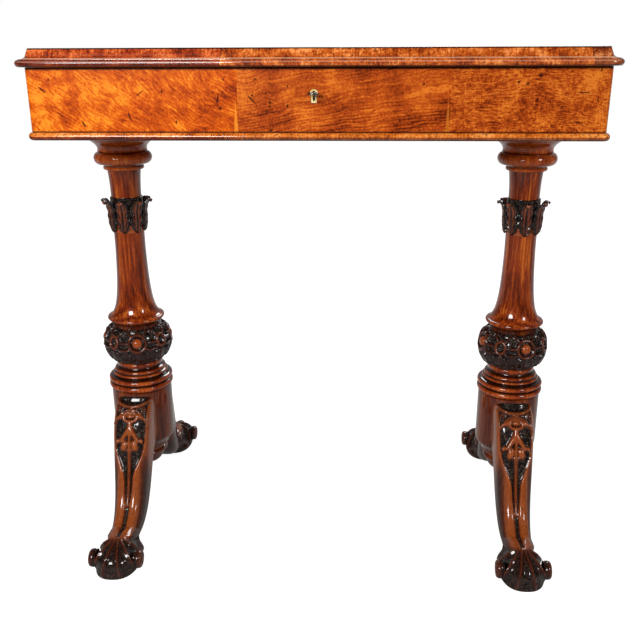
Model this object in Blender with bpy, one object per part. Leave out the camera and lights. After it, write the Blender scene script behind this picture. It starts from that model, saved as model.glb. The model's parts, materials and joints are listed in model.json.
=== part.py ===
"""Victorian walnut work table.

A shallow veneered box with a hinged, locking lid stands on two turned and carved columns.
Each column ends in a drum that takes a front and a back cabriole leg with a shell foot.
Metres, +Z up, front towards -Y, origin on the floor under the middle of the table.
"""
import math

import bmesh
import bpy
from mathutils import Matrix, Vector
from mathutils.geometry import interpolate_bezier

for old in list(bpy.data.objects):
    bpy.data.objects.remove(old)

# Driving dimensions: joints and the number of facets

CLEAR = 0.0003           # gap at every glued, seated or sliding joint
ROUND = 16               # facets round a turned section
SPIGOT_R = 0.0090        # turned spigot that joins one column section to the next
SPIGOT_L = 0.0100

# Driving dimensions: lid

LID_OVER = 0.0115        # bead's reach beyond the box on every side
LID_T = 0.0206
LID_GAP = 0.0004         # shadow gap between the lid and the box
LID_EDGE = 0.036         # width of the cross-grained moulding round the lid
BEAD_H = 0.0080          # half-round at the lid's lower edge
STEP_H = 0.0006          # quirk above the bead
COVE_W = 0.0085          # cove between the bead and the upper band
COVE_H = 0.0044
BAND_IN = 0.0036         # lean of the upper band
TOP_CORNER = 0.0040      # plan radius of the lid's top corners

# Driving dimensions: box

BOX_W = 0.667
BOX_D = 0.417
WALL_H = 0.0724
WALL_T = 0.0160
BOX_CORNER = 0.0060      # plan radius of the box's outer corners
BOTTOM_T = 0.0100
BASE_H = 0.0090          # bead moulding under the walls
BASE_OUT = 0.0045
DIVIDER_H = 0.0500
DIVIDER_T = 0.0060
DIVIDER_INSET = 0.2035   # middle of each long divider from the box's end

# Driving dimensions: columns, from the floor up

COLUMN_INSET = 0.0445    # column axis from the box's end
DRUM_Z = 0.1040
DRUM_H = 0.1005
DRUM_R = 0.0460
DRUM_FOOT_R = 0.0360
DRUM_TAPER = 0.0200
COLLAR_H = 0.0439
COLLAR_R = 0.0490
COLLAR_NECK_R = 0.0345
COLLAR_TORUS = 0.24      # heights of the collar's three rings, as shares of the collar
COLLAR_WIDE = 0.22
COLLAR_UPPER = 0.15
COLLAR_STEP = 0.86       # radius of the upper ring, as a share of the collar's
BALL_H = 0.0555
BALL_MIDDLE = 0.48       # widest level, as a share of the ball's height
BALL_R = 0.0503          # ground of the carved ball
BALL_NECK_R = 0.0335
BOSS_OUT = 0.0030        # carved bosses stand proud of the ground
BOSSES = 8
BOSS_TURN = -76          # degrees from +X to a large boss, just right of the front
BOSS_RISE = 0.0118       # bosses above the widest level
LARGE_BOSS = 0.34        # radius of a large boss and of a small one, as shares of the ball's
SMALL_BOSS = 0.22
SHAFT_H = 0.1452         # lower shaft, from the flared foot to the leaf collar
SHAFT_R = 0.0222
SHAFT_FOOT_R = 0.0345
FOOT_RIM_R = 0.0426
FOOT_RIM_H = 0.0060
FOOT_RIM_Z = 0.0132      # middle of the rim above the shaft's foot
FLARE_H = 0.1055
LEAF_H = 0.0520
LEAF_TIP_R = 0.0362
LEAF_SWELL = 0.28        # swell of the leaves' backs, as a share of their tips' reach
LEAF_CURL = 0.90         # level of the tips, as a share of the collar's height
LEAF_CURL_H = 0.085
LEAF_ROWS = 5
LEAF_HOLLOW = 0.4        # swell left between two leaves
LEAVES = 8
NECK_H = 0.0390          # short shaft above the leaf collar
NECK_R = 0.0234
NECK_TOP_R = 0.0252
CAPITAL_H = 0.0621
CAPITAL_FILLET = 0.0056
CAPITAL_RING_R = 0.0413
CAPITAL_RING_H = 0.0160
CAPITAL_RING_Z = 0.0169  # middle of the ring above the capital's foot
CAPITAL_NECK_R = 0.0350
CAPITAL_TOP_R = 0.0470
CAPITAL_PLATE = 0.0170   # straight part under the box
DROP_H = 0.0360
DROP_R = 0.0326
DROP_TIP_R = 0.0080
DROP_RING_H = 0.0080

# Driving dimensions: legs, each place as reach from the column axis and height above the floor

LEG_SEAT = 0.0360        # flat on the drum
LEG_HALF_W = 0.0295
KNEE_REACH = 0.1050
SHIN_REACH = 0.0880      # handle that draws the front of the leg in below the knee
SHIN_Z = 0.0620
CALF_REACH = 0.0650      # handle that draws the back of the leg in
CALF_Z = 0.0200
ANKLE_REACH = 0.1385
ANKLE_Z = 0.0250
ANKLE_HALF_W = 0.0212
ANKLE_RUN = 0.0330       # from the back of the ankle to its front
ANKLE_RISE = 0.0260
HEEL_REACH = 0.1380
HEEL_Z = 0.0040
FOOT_REACH = 0.2285      # toe
FOOT_HALF_W = 0.0395
FOOT_H = 0.0440
TOE_Z = 0.0090
SOLE_EDGE = 0.0030       # chamfer round the sole
TENON_W = 0.0180
TENON_L = 0.0130
TENON_INSET = 0.0090     # tenon's shoulder above and below
TOES = 5
TOE_DEPTH = 0.10         # hollow between toes, as a share of the foot's half length
SEAT_SQUARE = 2.2        # squareness of a section: at the drum, at the ankle and in a tenon
ANKLE_SQUARE = 1.2
TENON_SQUARE = 8

# Driving dimensions: lid hinges

HINGE_INSET = 0.1235     # middle of each hinge from the box's end
HINGE_L = 0.0500
LEAF_W = 0.0100
LEAF_T = 0.0012
KNUCKLE_R = 0.0026
PIN_R = 0.0011
PIN_FACETS = 12

# Driving dimensions: lock and key, places measured from the key's axis

LOCK_W = 0.0480
LOCK_H = 0.0405
LOCK_DEPTH = 0.0100      # mortise for the lock in the front wall
CASE_T = 0.0012
KEY_DROP = 0.0285        # key axis below the box's top edge
KEY_R = 0.0018
KEY_OUT = 0.0190         # bow's end from the front wall
BIT_REACH = 0.0070
BIT_T = 0.0016
BOW_R = 0.0070
BOW_T = 0.0024
BOLT_T = 0.0035
BOLT_LIFT = 0.0039
BOLT_H = 0.0096
BOLT_LEFT = 0.0195
BOLT_RIGHT = 0.0125
BOLT_THROW = 0.0070
PRONG_W = 0.0108
PRONG_H = 0.0040
PRONG_RISE = 0.0050
FINGER_W = 0.0040
FINGER_X = -0.0168       # left side of the first finger
FINGER_PITCH = 0.0180
HOOK_X = -0.0050
HOOK_W = 0.0040
HOOK_T = 0.0015
PLATE_W = 0.0440
PLATE_T = 0.0012
KEYHOLE_R = 0.0024
KEYHOLE_DROP = 0.0085
ESCUTCHEON_W = 0.0022    # width of the brass thread round the keyhole
ESCUTCHEON_T = 0.0018
ESCUTCHEON_PROUD = 0.0005

# Levels and places worked out from the driving dimensions

LID_W = BOX_W + 2 * LID_OVER
LID_D = BOX_D + 2 * LID_OVER
COLUMN_X = BOX_W / 2 - COLUMN_INSET
HINGE_X = BOX_W / 2 - HINGE_INSET
DIVIDER_X = BOX_W / 2 - DIVIDER_INSET
DRUM_TOP = DRUM_Z + DRUM_H
COLLAR_Z = DRUM_TOP + CLEAR
BALL_Z = COLLAR_Z + COLLAR_H + CLEAR
SHAFT_Z = BALL_Z + BALL_H + CLEAR
LEAF_Z = SHAFT_Z + SHAFT_H + CLEAR
NECK_Z = LEAF_Z + LEAF_H + CLEAR
CAPITAL_Z = NECK_Z + NECK_H + CLEAR
BOX_Z = CAPITAL_Z + CAPITAL_H + CLEAR
WALL_Z = BOX_Z + BASE_H + CLEAR
BOX_TOP = WALL_Z + WALL_H
LID_Z = BOX_TOP + LID_GAP
FLOOR_Z = BOX_Z + BOTTOM_T
INNER_X = BOX_W / 2 - WALL_T
INNER_Y = BOX_D / 2 - WALL_T
SOCKET_R = SPIGOT_R + CLEAR
MITRE = CLEAR / math.sqrt(2)


# Finishes

def finish(name, colour, roughness, metallic=0.0):
    material = bpy.data.materials.new(name)
    material.use_nodes = True
    shader = material.node_tree.nodes["Principled BSDF"]
    shader.inputs["Base Color"].default_value = (*colour, 1.0)
    shader.inputs["Roughness"].default_value = roughness
    shader.inputs["Metallic"].default_value = metallic
    return material


BURR_WALNUT = finish("burr_walnut", (0.44, 0.14, 0.025), 0.22)
CROSS_WALNUT = finish("cross_grained_walnut", (0.22, 0.055, 0.014), 0.25)
TURNED_WALNUT = finish("turned_walnut", (0.20, 0.042, 0.012), 0.22)
CARVED_WALNUT = finish("carved_walnut", (0.050, 0.013, 0.006), 0.35)
PLAIN_WOOD = finish("plain_wood", (0.30, 0.14, 0.05), 0.55)
BRASS = finish("brass", (0.72, 0.46, 0.14), 0.30, 1.0)
STEEL = finish("steel", (0.16, 0.15, 0.14), 0.42, 1.0)


# Ways of making a piece

def add(name, mesh, material, place=(0, 0, 0), turn=0.0, parent=None):
    """One named object, with its origin at a place in the world."""
    piece = bpy.data.objects.new(name, mesh)
    bpy.context.scene.collection.objects.link(piece)
    if not mesh.materials:
        mesh.materials.append(material)
    piece.parent = parent
    piece.location = Vector(place) - (parent.location if parent else Vector())
    piece.rotation_euler.z = turn
    return piece


def mesh_from(bm, name, smooth_angle=None):
    bmesh.ops.recalc_face_normals(bm, faces=bm.faces)
    mesh = bpy.data.meshes.new(name)
    bm.to_mesh(mesh)
    bm.free()
    if smooth_angle:
        mesh.shade_smooth()
        mesh.set_sharp_from_angle(angle=math.radians(smooth_angle))
    return mesh


def loft(rings, name, smooth_angle=None):
    """A closed skin over rings with one count of points, capped at both ends."""
    bm = bmesh.new()
    rows = [[bm.verts.new(point) for point in ring] for ring in rings]
    for low, high in zip(rows, rows[1:]):
        for i in range(len(low)):
            j = (i + 1) % len(low)
            bm.faces.new((low[i], low[j], high[j], high[i]))
    bm.faces.new(rows[0])
    bm.faces.new(rows[-1])
    return mesh_from(bm, name, smooth_angle)


def block(low, high, name):
    """A box mesh between two corners."""
    plan = [(low[0], low[1]), (high[0], low[1]), (high[0], high[1]), (low[0], high[1])]
    return slab(plan, low[2], high[2], name)


def slab(plan, z0, z1, name):
    """A plan outline raised from one level to another."""
    return loft([[(x, y, z) for x, y in plan] for z in (z0, z1)], name)


def prism(outline, y0, y1, name):
    """An outline in the XZ plane, carried along Y."""
    return loft([[(x, y, z) for x, z in outline] for y in (y0, y1)], name)


def cut(piece, meshes, operation="DIFFERENCE"):
    """Cuts meshes from a piece, or joins them to it, in the piece's own coordinates."""
    for mesh in meshes:
        cutter = bpy.data.objects.new("cutter", mesh)
        bpy.context.scene.collection.objects.link(cutter)
        cutter.hide_render = True
        cutter.display_type = "WIRE"
        cutter.matrix_world = Matrix.Translation(piece.location)
        if piece.parent:
            cutter.matrix_world = Matrix.Translation(piece.location + piece.parent.location)
        bpy.context.view_layer.update()
        change = piece.modifiers.new("cut", "BOOLEAN")
        change.operation = operation
        change.object = cutter
        bpy.context.view_layer.objects.active = piece
        bpy.ops.object.modifier_apply(modifier="cut")
        bpy.data.objects.remove(cutter)
    return piece


def turned(outline, name, facets=ROUND):
    """A turned solid from an outline of (radius, height), from its lower end to its upper one."""
    bm = bmesh.new()
    rows = []
    for radius, height in outline:
        if radius == 0:
            rows.append([bm.verts.new((0, 0, height))])
            continue
        angles = [2 * math.pi * i / facets for i in range(facets)]
        rows.append([bm.verts.new((radius * math.cos(a), radius * math.sin(a), height)) for a in angles])
    for low, high in zip(rows, rows[1:]):
        for i in range(facets):
            j = (i + 1) % facets
            corners = [low[i % len(low)], low[j % len(low)], high[j % len(high)], high[i % len(high)]]
            bm.faces.new(list(dict.fromkeys(corners)))
    return mesh_from(bm, name, 40)


def arc(radius, height, size_r, size_h, start, end, steps):
    """Points on an elliptical arc in a turned outline, angles in degrees from straight out."""
    angles = [math.radians(start + (end - start) * i / steps) for i in range(steps + 1)]
    return [(radius + size_r * math.cos(a), height + size_h * math.sin(a)) for a in angles]


def socket():
    """The start of an outline whose lower end takes the spigot of the section below."""
    return [(0, SPIGOT_L), (SOCKET_R, SPIGOT_L), (SOCKET_R, 0)]


def spigot(height, length=SPIGOT_L):
    """The end of an outline whose upper end has a spigot."""
    return [(SPIGOT_R, height), (SPIGOT_R, height + length), (0, height + length)]


def bezier(a, a_handle, b_handle, b, count):
    flat = [Vector((*p, 0)) for p in (a, a_handle, b_handle, b)]
    return [(p.x, p.y) for p in interpolate_bezier(*flat, count)]


# Mitred mouldings: the plan follows the straight side and half of each rounded corner

def mitred_moulding(half_length, distance, width, corner, profile, name, corner_steps=3):
    """A moulding along X on the -Y side, from a profile of (offset from the face, height)."""
    centre_x = half_length - MITRE - corner
    inner = (half_length - MITRE - width, -(distance - width))
    rings = []
    for offset, height in profile:
        bend = corner + offset
        steps = [math.radians(45 * i / corner_steps) for i in range(corner_steps + 1)]
        right = [(centre_x + bend * math.sin(a), corner - distance - bend * math.cos(a)) for a in steps]
        left = [(-x, y) for x, y in reversed(right)]
        plan = [(-inner[0], inner[1])] + left + right + [inner]
        rings.append([(x, y, height) for x, y in plan])
    return loft(rings, name, 35)


def frame_of_mouldings(prefix, half_w, half_d, width, corner, profile, level, parent=None):
    long = mitred_moulding(half_w, half_d, width, corner, profile, prefix + "_long")
    short = mitred_moulding(half_d, half_w, width, corner, profile, prefix + "_short")
    sides = {
        "front": (long, 0),
        "back": (long.copy(), math.pi),
        "left": (short, -math.pi / 2),
        "right": (short, math.pi / 2),
    }
    return {
        side: add(f"{prefix}_{side}_moulding", mesh, CROSS_WALNUT, (0, 0, level), turn, parent)
        for side, (mesh, turn) in sides.items()
    }


# Carcase: four walls on a bead moulding, with the bottom board let in between them

def base_profile():
    """Half-round that stands proud of the walls."""
    angles = [math.radians(a) for a in (-75, -45, -15, 15, 45, 75)]
    full = math.sin(angles[-1])
    return [(BASE_OUT * (math.cos(a) - 1), BASE_H * (1 + math.sin(a) / full) / 2) for a in angles]


frame_of_mouldings("base", BOX_W / 2 + BASE_OUT, BOX_D / 2 + BASE_OUT, WALL_T + BASE_OUT,
                   BOX_CORNER + BASE_OUT, base_profile(), BOX_Z)

board_x = INNER_X - CLEAR
board_y = INNER_Y - CLEAR
board_mesh = block((-board_x, -board_y, 0), (board_x, board_y, BOTTOM_T), "bottom_board")
bottom_board = add("bottom_board", board_mesh, PLAIN_WOOD, (0, 0, BOX_Z))
for side in (-1, 1):
    hole_ends = [(SOCKET_R, -BOTTOM_T), (SOCKET_R, 2 * BOTTOM_T)]
    hole = turned([(0, -BOTTOM_T)] + hole_ends + [(0, 2 * BOTTOM_T)], "hole")
    hole.transform(Matrix.Translation((side * COLUMN_X, 0, 0)))
    cut(bottom_board, [hole])


def long_wall(name):
    """Front or back wall, with the box's two rounded corners."""
    half = BOX_W / 2
    steps = [math.radians(90 * i / 4) for i in range(5)]
    bend_x = half - BOX_CORNER
    bend_y = -BOX_D / 2 + BOX_CORNER
    right = [(bend_x + BOX_CORNER * math.sin(a), bend_y - BOX_CORNER * math.cos(a)) for a in steps]
    left = [(-x, y) for x, y in reversed(right)]
    return slab(left + right + [(half, -INNER_Y), (-half, -INNER_Y)], 0, WALL_H, name)


front_wall = add("front_wall", long_wall("front_wall"), BURR_WALNUT, (0, 0, WALL_Z))
back_wall = add("back_wall", long_wall("back_wall"), BURR_WALNUT, (0, 0, WALL_Z), math.pi)
side_wall = block((-WALL_T / 2, CLEAR - INNER_Y, 0), (WALL_T / 2, INNER_Y - CLEAR, WALL_H), "side_wall")
for name, side in (("left_wall", -1), ("right_wall", 1)):
    add(name, side_wall, BURR_WALNUT, (side * (BOX_W - WALL_T) / 2, 0, WALL_Z))

# Compartments: two long dividers, and a cross divider in each end bay

long_divider = block((-DIVIDER_T / 2, CLEAR - INNER_Y, 0), (DIVIDER_T / 2, INNER_Y - CLEAR, DIVIDER_H),
                     "long_divider")
bay = INNER_X - DIVIDER_X - DIVIDER_T / 2 - 2 * CLEAR
cross_divider = block((-bay / 2, -DIVIDER_T / 2, 0), (bay / 2, DIVIDER_T / 2, DIVIDER_H), "cross_divider")
for word, side in (("left", -1), ("right", 1)):
    add(f"{word}_long_divider", long_divider, PLAIN_WOOD, (side * DIVIDER_X, 0, FLOOR_Z + CLEAR))
    add(f"{word}_cross_divider", cross_divider, PLAIN_WOOD,
        (side * (INNER_X - CLEAR - bay / 2), 0, FLOOR_Z + CLEAR))

# Lid: a panel in a mitred frame of bead, cove and leaning band, turning on its hinge axis

HINGE_Y = BOX_D / 2 + KNUCKLE_R + CLEAR
HINGE_Z = BOX_TOP + LID_GAP / 2
lid_pivot = bpy.data.objects.new("lid_pivot", None)
bpy.context.scene.collection.objects.link(lid_pivot)
lid_pivot.location = (0, HINGE_Y, HINGE_Z)


def lid_profile():
    bead = BEAD_H / 2
    points = [(o - bead, z) for o, z in arc(0, bead, bead, bead, -90, 90, 6)]
    foot = BEAD_H + STEP_H
    cove = arc(-bead, foot + COVE_H, COVE_W, COVE_H, 270, 180, 4)
    return points + cove + [(-bead - COVE_W - BAND_IN, LID_T)]


LID_CORNER = TOP_CORNER + BEAD_H / 2 + COVE_W + BAND_IN
lid_frame = frame_of_mouldings("lid", LID_W / 2, LID_D / 2, LID_EDGE, LID_CORNER, lid_profile(), LID_Z,
                               lid_pivot)
panel_x = LID_W / 2 - LID_EDGE - CLEAR
panel_y = LID_D / 2 - LID_EDGE - CLEAR
add("lid_panel", block((-panel_x, -panel_y, 0), (panel_x, panel_y, LID_T), "lid_panel"),
    BURR_WALNUT, (0, 0, LID_Z), 0, lid_pivot)

# Hinges: two brass butts, each a box leaf, a lid leaf and a pin

BOX_BACK = BOX_D / 2
TAB_END = HINGE_Y - (KNUCKLE_R + PIN_R + CLEAR) / 2
KNUCKLE_L = (HINGE_L - 2 * CLEAR) / 3


def hinge_leaf(knuckles, level, name):
    """A leaf with its rolled knuckles, about the hinge's middle on the pin's axis."""
    half = HINGE_L / 2
    edge = BOX_BACK - HINGE_Y
    tab = TAB_END - HINGE_Y
    plan = [(-half, edge - LEAF_W), (half, edge - LEAF_W), (half, edge)]
    for x0, x1 in sorted(knuckles, reverse=True):
        step = [(x1, edge), (x1, tab), (x0, tab), (x0, edge)]
        plan += [p for p in step if p not in plan]
    if (-half, edge) not in plan:
        plan.append((-half, edge))
    leaf = slab(plan, level, level + LEAF_T, name)
    tubes = []
    angles = [2 * math.pi * i / PIN_FACETS for i in range(PIN_FACETS)]
    for x0, x1 in knuckles:
        bm = bmesh.new()
        rows = []
        for radius, x in ((KNUCKLE_R, x0), (KNUCKLE_R, x1), (PIN_R + CLEAR, x1), (PIN_R + CLEAR, x0)):
            rows.append([bm.verts.new((x, radius * math.cos(a), radius * math.sin(a))) for a in angles])
        for low, high in zip(rows, rows[1:] + rows[:1]):
            for i in range(PIN_FACETS):
                j = (i + 1) % PIN_FACETS
                bm.faces.new((low[i], low[j], high[j], high[i]))
        tubes.append(mesh_from(bm, "knuckle"))
    return leaf, tubes


def pin(radius, length, name):
    """A round pin along X."""
    angles = [2 * math.pi * i / PIN_FACETS for i in range(PIN_FACETS)]
    circle = [(radius * math.cos(a), radius * math.sin(a)) for a in angles]
    return loft([[(x, y, z) for y, z in circle] for x in (-length / 2, length / 2)], name, 40)


middle = [(-KNUCKLE_L / 2, KNUCKLE_L / 2)]
outer = [(-HINGE_L / 2, -KNUCKLE_L / 2 - CLEAR), (KNUCKLE_L / 2 + CLEAR, HINGE_L / 2)]
for word, side in (("left", -1), ("right", 1)):
    place = (side * HINGE_X, HINGE_Y, HINGE_Z)
    leaf, tubes = hinge_leaf(middle, BOX_TOP - LEAF_T - HINGE_Z, "box_leaf")
    cut(add(f"{word}_hinge_box_leaf", leaf, BRASS, place), tubes, "UNION")
    leaf, tubes = hinge_leaf(outer, LID_Z - HINGE_Z, "lid_leaf")
    cut(add(f"{word}_hinge_lid_leaf", leaf, BRASS, place, 0, lid_pivot), tubes, "UNION")
    add(f"{word}_hinge_pin", pin(PIN_R, HINGE_L, "hinge_pin"), BRASS, place)

    # The leaves are let in, and the lid's moulding is notched for the knuckles.
    # The back pieces are turned half round, so their own X and Y are reversed.
    x0 = -side * HINGE_X - HINGE_L / 2 - CLEAR
    x1 = -side * HINGE_X + HINGE_L / 2 + CLEAR
    leaf_y = -(BOX_BACK - LEAF_W - CLEAR)
    let_in = block((x0, -BOX_D, WALL_H - LEAF_T - CLEAR), (x1, leaf_y, 2 * WALL_H), "let_in")
    let_in.transform(Matrix.Rotation(math.pi, 4, "Z"))
    cut(back_wall, [let_in])
    lid_let_in = block((x0, -HINGE_Y, -LID_T), (x1, leaf_y, LEAF_T + CLEAR), "lid_let_in")
    knuckle_way = KNUCKLE_R + CLEAR
    notch_top = HINGE_Z + knuckle_way - LID_Z
    notch = block((x0, -HINGE_Y - knuckle_way, -LID_T), (x1, CLEAR - BOX_BACK, notch_top), "notch")
    for tool in (lid_let_in, notch):
        tool.transform(Matrix.Rotation(math.pi, 4, "Z"))
        cut(lid_frame["back"], [tool])

# Lock: mortised into the front wall from inside, with a link plate on the lid.
# Outlines are drawn about the key's axis, in the XZ plane.

KEY_Z = BOX_TOP - KEY_DROP
FRONT = -BOX_D / 2
MORTISE_Y = -INNER_Y - LOCK_DEPTH
CASE_BACK = -INNER_Y - CASE_T
BOLT_Y1 = CASE_BACK - CLEAR
BOLT_Y0 = BOLT_Y1 - BOLT_T
HOOK_Y1 = BOLT_Y0 - CLEAR
HOOK_Y0 = HOOK_Y1 - HOOK_T
case_top = KEY_DROP
case_low = case_top - LOCK_H + CLEAR
case_half = LOCK_W / 2 - CLEAR


def keyhole(radius, half_slot, drop):
    """A round eye over a straight slot."""
    meet = math.asin(half_slot / radius)
    angles = [-math.pi / 2 + meet + (2 * math.pi - 2 * meet) * i / 12 for i in range(13)]
    eye = [(radius * math.cos(a), radius * math.sin(a)) for a in angles]
    return eye + [(-half_slot, -drop), (half_slot, -drop)]


HOLE = keyhole(KEYHOLE_R, BIT_T / 2 + CLEAR, KEYHOLE_DROP)
THREAD = keyhole(KEYHOLE_R + ESCUTCHEON_W, BIT_T / 2 + CLEAR + ESCUTCHEON_W, KEYHOLE_DROP + ESCUTCHEON_W)
SEAT_W = ESCUTCHEON_W + CLEAR
SEAT = keyhole(KEYHOLE_R + SEAT_W, BIT_T / 2 + CLEAR + SEAT_W, KEYHOLE_DROP + SEAT_W)

let_in_depth = ESCUTCHEON_T - ESCUTCHEON_PROUD + CLEAR
mortise = block((-LOCK_W / 2, MORTISE_Y, case_top - LOCK_H), (LOCK_W / 2, WALL_T - INNER_Y, 2 * case_top),
                "mortise")
eye = prism(HOLE, FRONT - WALL_T, -INNER_Y, "eye")
seat = prism(SEAT, FRONT - WALL_T, FRONT + let_in_depth, "seat")
for tool in (mortise, eye, seat):
    tool.transform(Matrix.Translation((0, 0, KEY_Z - WALL_Z)))
    cut(front_wall, [tool])


def escutcheon():
    """A keyhole-shaped thread of brass, let into the front wall."""
    front = FRONT - ESCUTCHEON_PROUD
    back = front + ESCUTCHEON_T
    bm = bmesh.new()
    rows = []
    for outline, y in ((THREAD, front), (THREAD, back), (HOLE, back), (HOLE, front)):
        rows.append([bm.verts.new((x, y, z)) for x, z in outline])
    for low, high in zip(rows, rows[1:] + rows[:1]):
        for i in range(len(low)):
            j = (i + 1) % len(low)
            bm.faces.new((low[i], low[j], high[j], high[i]))
    return mesh_from(bm, "escutcheon")


add("escutcheon", escutcheon(), BRASS, (0, 0, KEY_Z))

case_mesh = block((-case_half, MORTISE_Y + CLEAR, case_low), (case_half, -INNER_Y, case_top), "lock_case")
case = add("lock_case", case_mesh, STEEL, (0, 0, KEY_Z))
hollow_half = case_half - CASE_T
hollow_front = MORTISE_Y - CASE_T
hollow = block((-hollow_half, hollow_front, case_low + CASE_T), (hollow_half, CASE_BACK, case_top - CASE_T),
               "hollow")
cut(case, [hollow])
hooks = [(HOOK_X + i * FINGER_PITCH, HOOK_X + i * FINGER_PITCH + HOOK_W) for i in range(2)]
for x0, x1 in hooks:
    way_low = case_top - 2 * CASE_T
    way = block((x0 - 2 * CLEAR, hollow_front, way_low), (x1 + 2 * CLEAR, CASE_BACK, 2 * case_top), "way")
    cut(case, [way])


def bolt_outline():
    """A bar with two prongs above and, below, the notch that the key's bit sweeps through."""
    top = BOLT_LIFT + BOLT_H
    enter = math.asin(BOLT_LIFT / BIT_REACH)
    reach = BIT_REACH * math.cos(enter) + BOLT_THROW * enter / math.pi + BIT_T
    notch_top = BIT_REACH + 2 * CLEAR
    points = [(-BOLT_LEFT, BOLT_LIFT), (-reach, BOLT_LIFT), (-reach, notch_top)]
    points += [(reach - BOLT_THROW, notch_top), (reach - BOLT_THROW, BOLT_LIFT), (BOLT_RIGHT, BOLT_LIFT)]
    points.append((BOLT_RIGHT, top))
    for i in (1, 0):
        x = FINGER_X + i * FINGER_PITCH
        prong = top + PRONG_RISE
        points += [(x + FINGER_W, top), (x + FINGER_W, prong), (x + PRONG_W, prong)]
        points += [(x + PRONG_W, prong + PRONG_H), (x, prong + PRONG_H), (x, top)]
    return points + [(-BOLT_LEFT, top)]


add("lock_bolt", prism(bolt_outline(), BOLT_Y0, BOLT_Y1, "lock_bolt"), STEEL, (0, 0, KEY_Z))


def link_hook(x0, x1):
    """A hook that hangs from the link plate, for a prong of the bolt to slide over."""
    foot = BOLT_LIFT + BOLT_H + (PRONG_RISE - HOOK_T) / 2
    plate = LID_Z - KEY_Z + PLATE_T / 2
    outline = [(HOOK_Y0, foot), (BOLT_Y1, foot), (BOLT_Y1, foot + HOOK_T), (HOOK_Y1, foot + HOOK_T),
               (HOOK_Y1, plate), (HOOK_Y0, plate)]
    return loft([[(x, y, z) for y, z in outline] for x in (x0, x1)], "link_hook")


plate_low = LID_Z - KEY_Z
plate_half = PLATE_W / 2
plate_top = plate_low + PLATE_T
plate_mesh = block((-plate_half, MORTISE_Y, plate_low), (plate_half, -INNER_Y, plate_top), "link_plate")
link = add("link_plate", plate_mesh, STEEL, (0, 0, KEY_Z), 0, lid_pivot)
cut(link, [link_hook(*hook) for hook in hooks], "UNION")
plate_let_in = block((-plate_half - CLEAR, MORTISE_Y - CLEAR, -LID_T),
                     (plate_half + CLEAR, CLEAR - INNER_Y, PLATE_T + CLEAR), "plate_let_in")
cut(lid_frame["front"], [plate_let_in])


def key_stem():
    """Stem with its collar and tip, along Y, as a turned outline laid down."""
    tip = BOLT_Y1 - CLEAR
    bow = FRONT - KEY_OUT + BOW_R
    collar = FRONT - ESCUTCHEON_PROUD - 2 * CLEAR
    outline = [(0, bow), (KEY_R, bow), (KEY_R, collar - 2 * KEY_R), (1.5 * KEY_R, collar - 1.5 * KEY_R),
               (1.5 * KEY_R, collar - 0.5 * KEY_R), (KEY_R, collar), (KEY_R, tip), (0, tip)]
    stem = turned(outline, "key", 12)
    stem.transform(Matrix.Rotation(-math.pi / 2, 4, "X"))
    return stem


def key_bow():
    """Oval loop in the level plane."""
    bm = bmesh.new()
    sides = [(1, 0), (0.7, 1), (-0.7, 1), (-1, 0), (-0.7, -1), (0.7, -1)]
    rows = []
    for i in range(16):
        a = 2 * math.pi * i / 16
        ring = []
        for out, up in sides:
            radius = BOW_R - BOW_T / 2 + out * BOW_T / 2
            ring.append(bm.verts.new((radius * math.cos(a), radius * math.sin(a), up * BOW_T / 2)))
        rows.append(ring)
    for low, high in zip(rows, rows[1:] + rows[:1]):
        for i in range(6):
            j = (i + 1) % 6
            bm.faces.new((low[i], low[j], high[j], high[i]))
    bm.transform(Matrix.Translation((0, FRONT - KEY_OUT + BOW_R, 0)))
    return mesh_from(bm, "key_bow", 40)


def key_bit():
    front = BOLT_Y0 + CLEAR
    back = BOLT_Y1 - 2 * CLEAR
    return block((-BIT_REACH, front, -BIT_T / 2), (-KEY_R / 2, back, BIT_T / 2), "key_bit")


key = add("key", key_stem(), STEEL, (0, 0, KEY_Z))
cut(key, [key_bit()], "UNION")
loop_r = BOW_R - BOW_T
loop_hole = turned([(0, -BOW_T), (loop_r, -BOW_T), (loop_r, BOW_T), (0, BOW_T)], "loop_hole", 16)
loop_hole.transform(Matrix.Translation((0, FRONT - KEY_OUT + BOW_R, 0)))
cut(key, [loop_hole])
cut(key, [key_bow()], "UNION")


# Columns: turned and carved sections, each with a spigot into the one above

def drum():
    outline = socket()
    outline += bezier((DRUM_FOOT_R, 0), (DRUM_FOOT_R, DRUM_TAPER / 2), (DRUM_R, DRUM_TAPER / 2),
                      (DRUM_R, DRUM_TAPER), 5)
    return turned(outline + [(DRUM_R, DRUM_H)] + spigot(DRUM_H), "drum")


def collar():
    """Stacked rings: a torus, a quirk, a wide torus and a cyma up to the neck under the ball."""
    low = COLLAR_H * COLLAR_TORUS / 2
    wide = COLLAR_H * COLLAR_WIDE / 2
    upper = COLLAR_H * COLLAR_UPPER / 2
    step_r = COLLAR_R * COLLAR_STEP
    outline = socket() + [(DRUM_R - 3 * CLEAR, 0)]
    outline += arc(COLLAR_R - low, low, low, low, -70, 70, 4)
    outline += arc(COLLAR_R - wide, 2 * low + wide, wide, wide, -60, 60, 3)
    outline += arc(step_r - upper, 2 * low + 2 * wide + upper, upper, upper, -60, 60, 3)
    start = (step_r - upper, 2 * (low + wide + upper))
    middle = (start[1] + COLLAR_H) / 2
    outline += bezier(start, (start[0], middle), (COLLAR_NECK_R, middle), (COLLAR_NECK_R, COLLAR_H), 5)
    return turned(outline + spigot(COLLAR_H), "collar")


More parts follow.
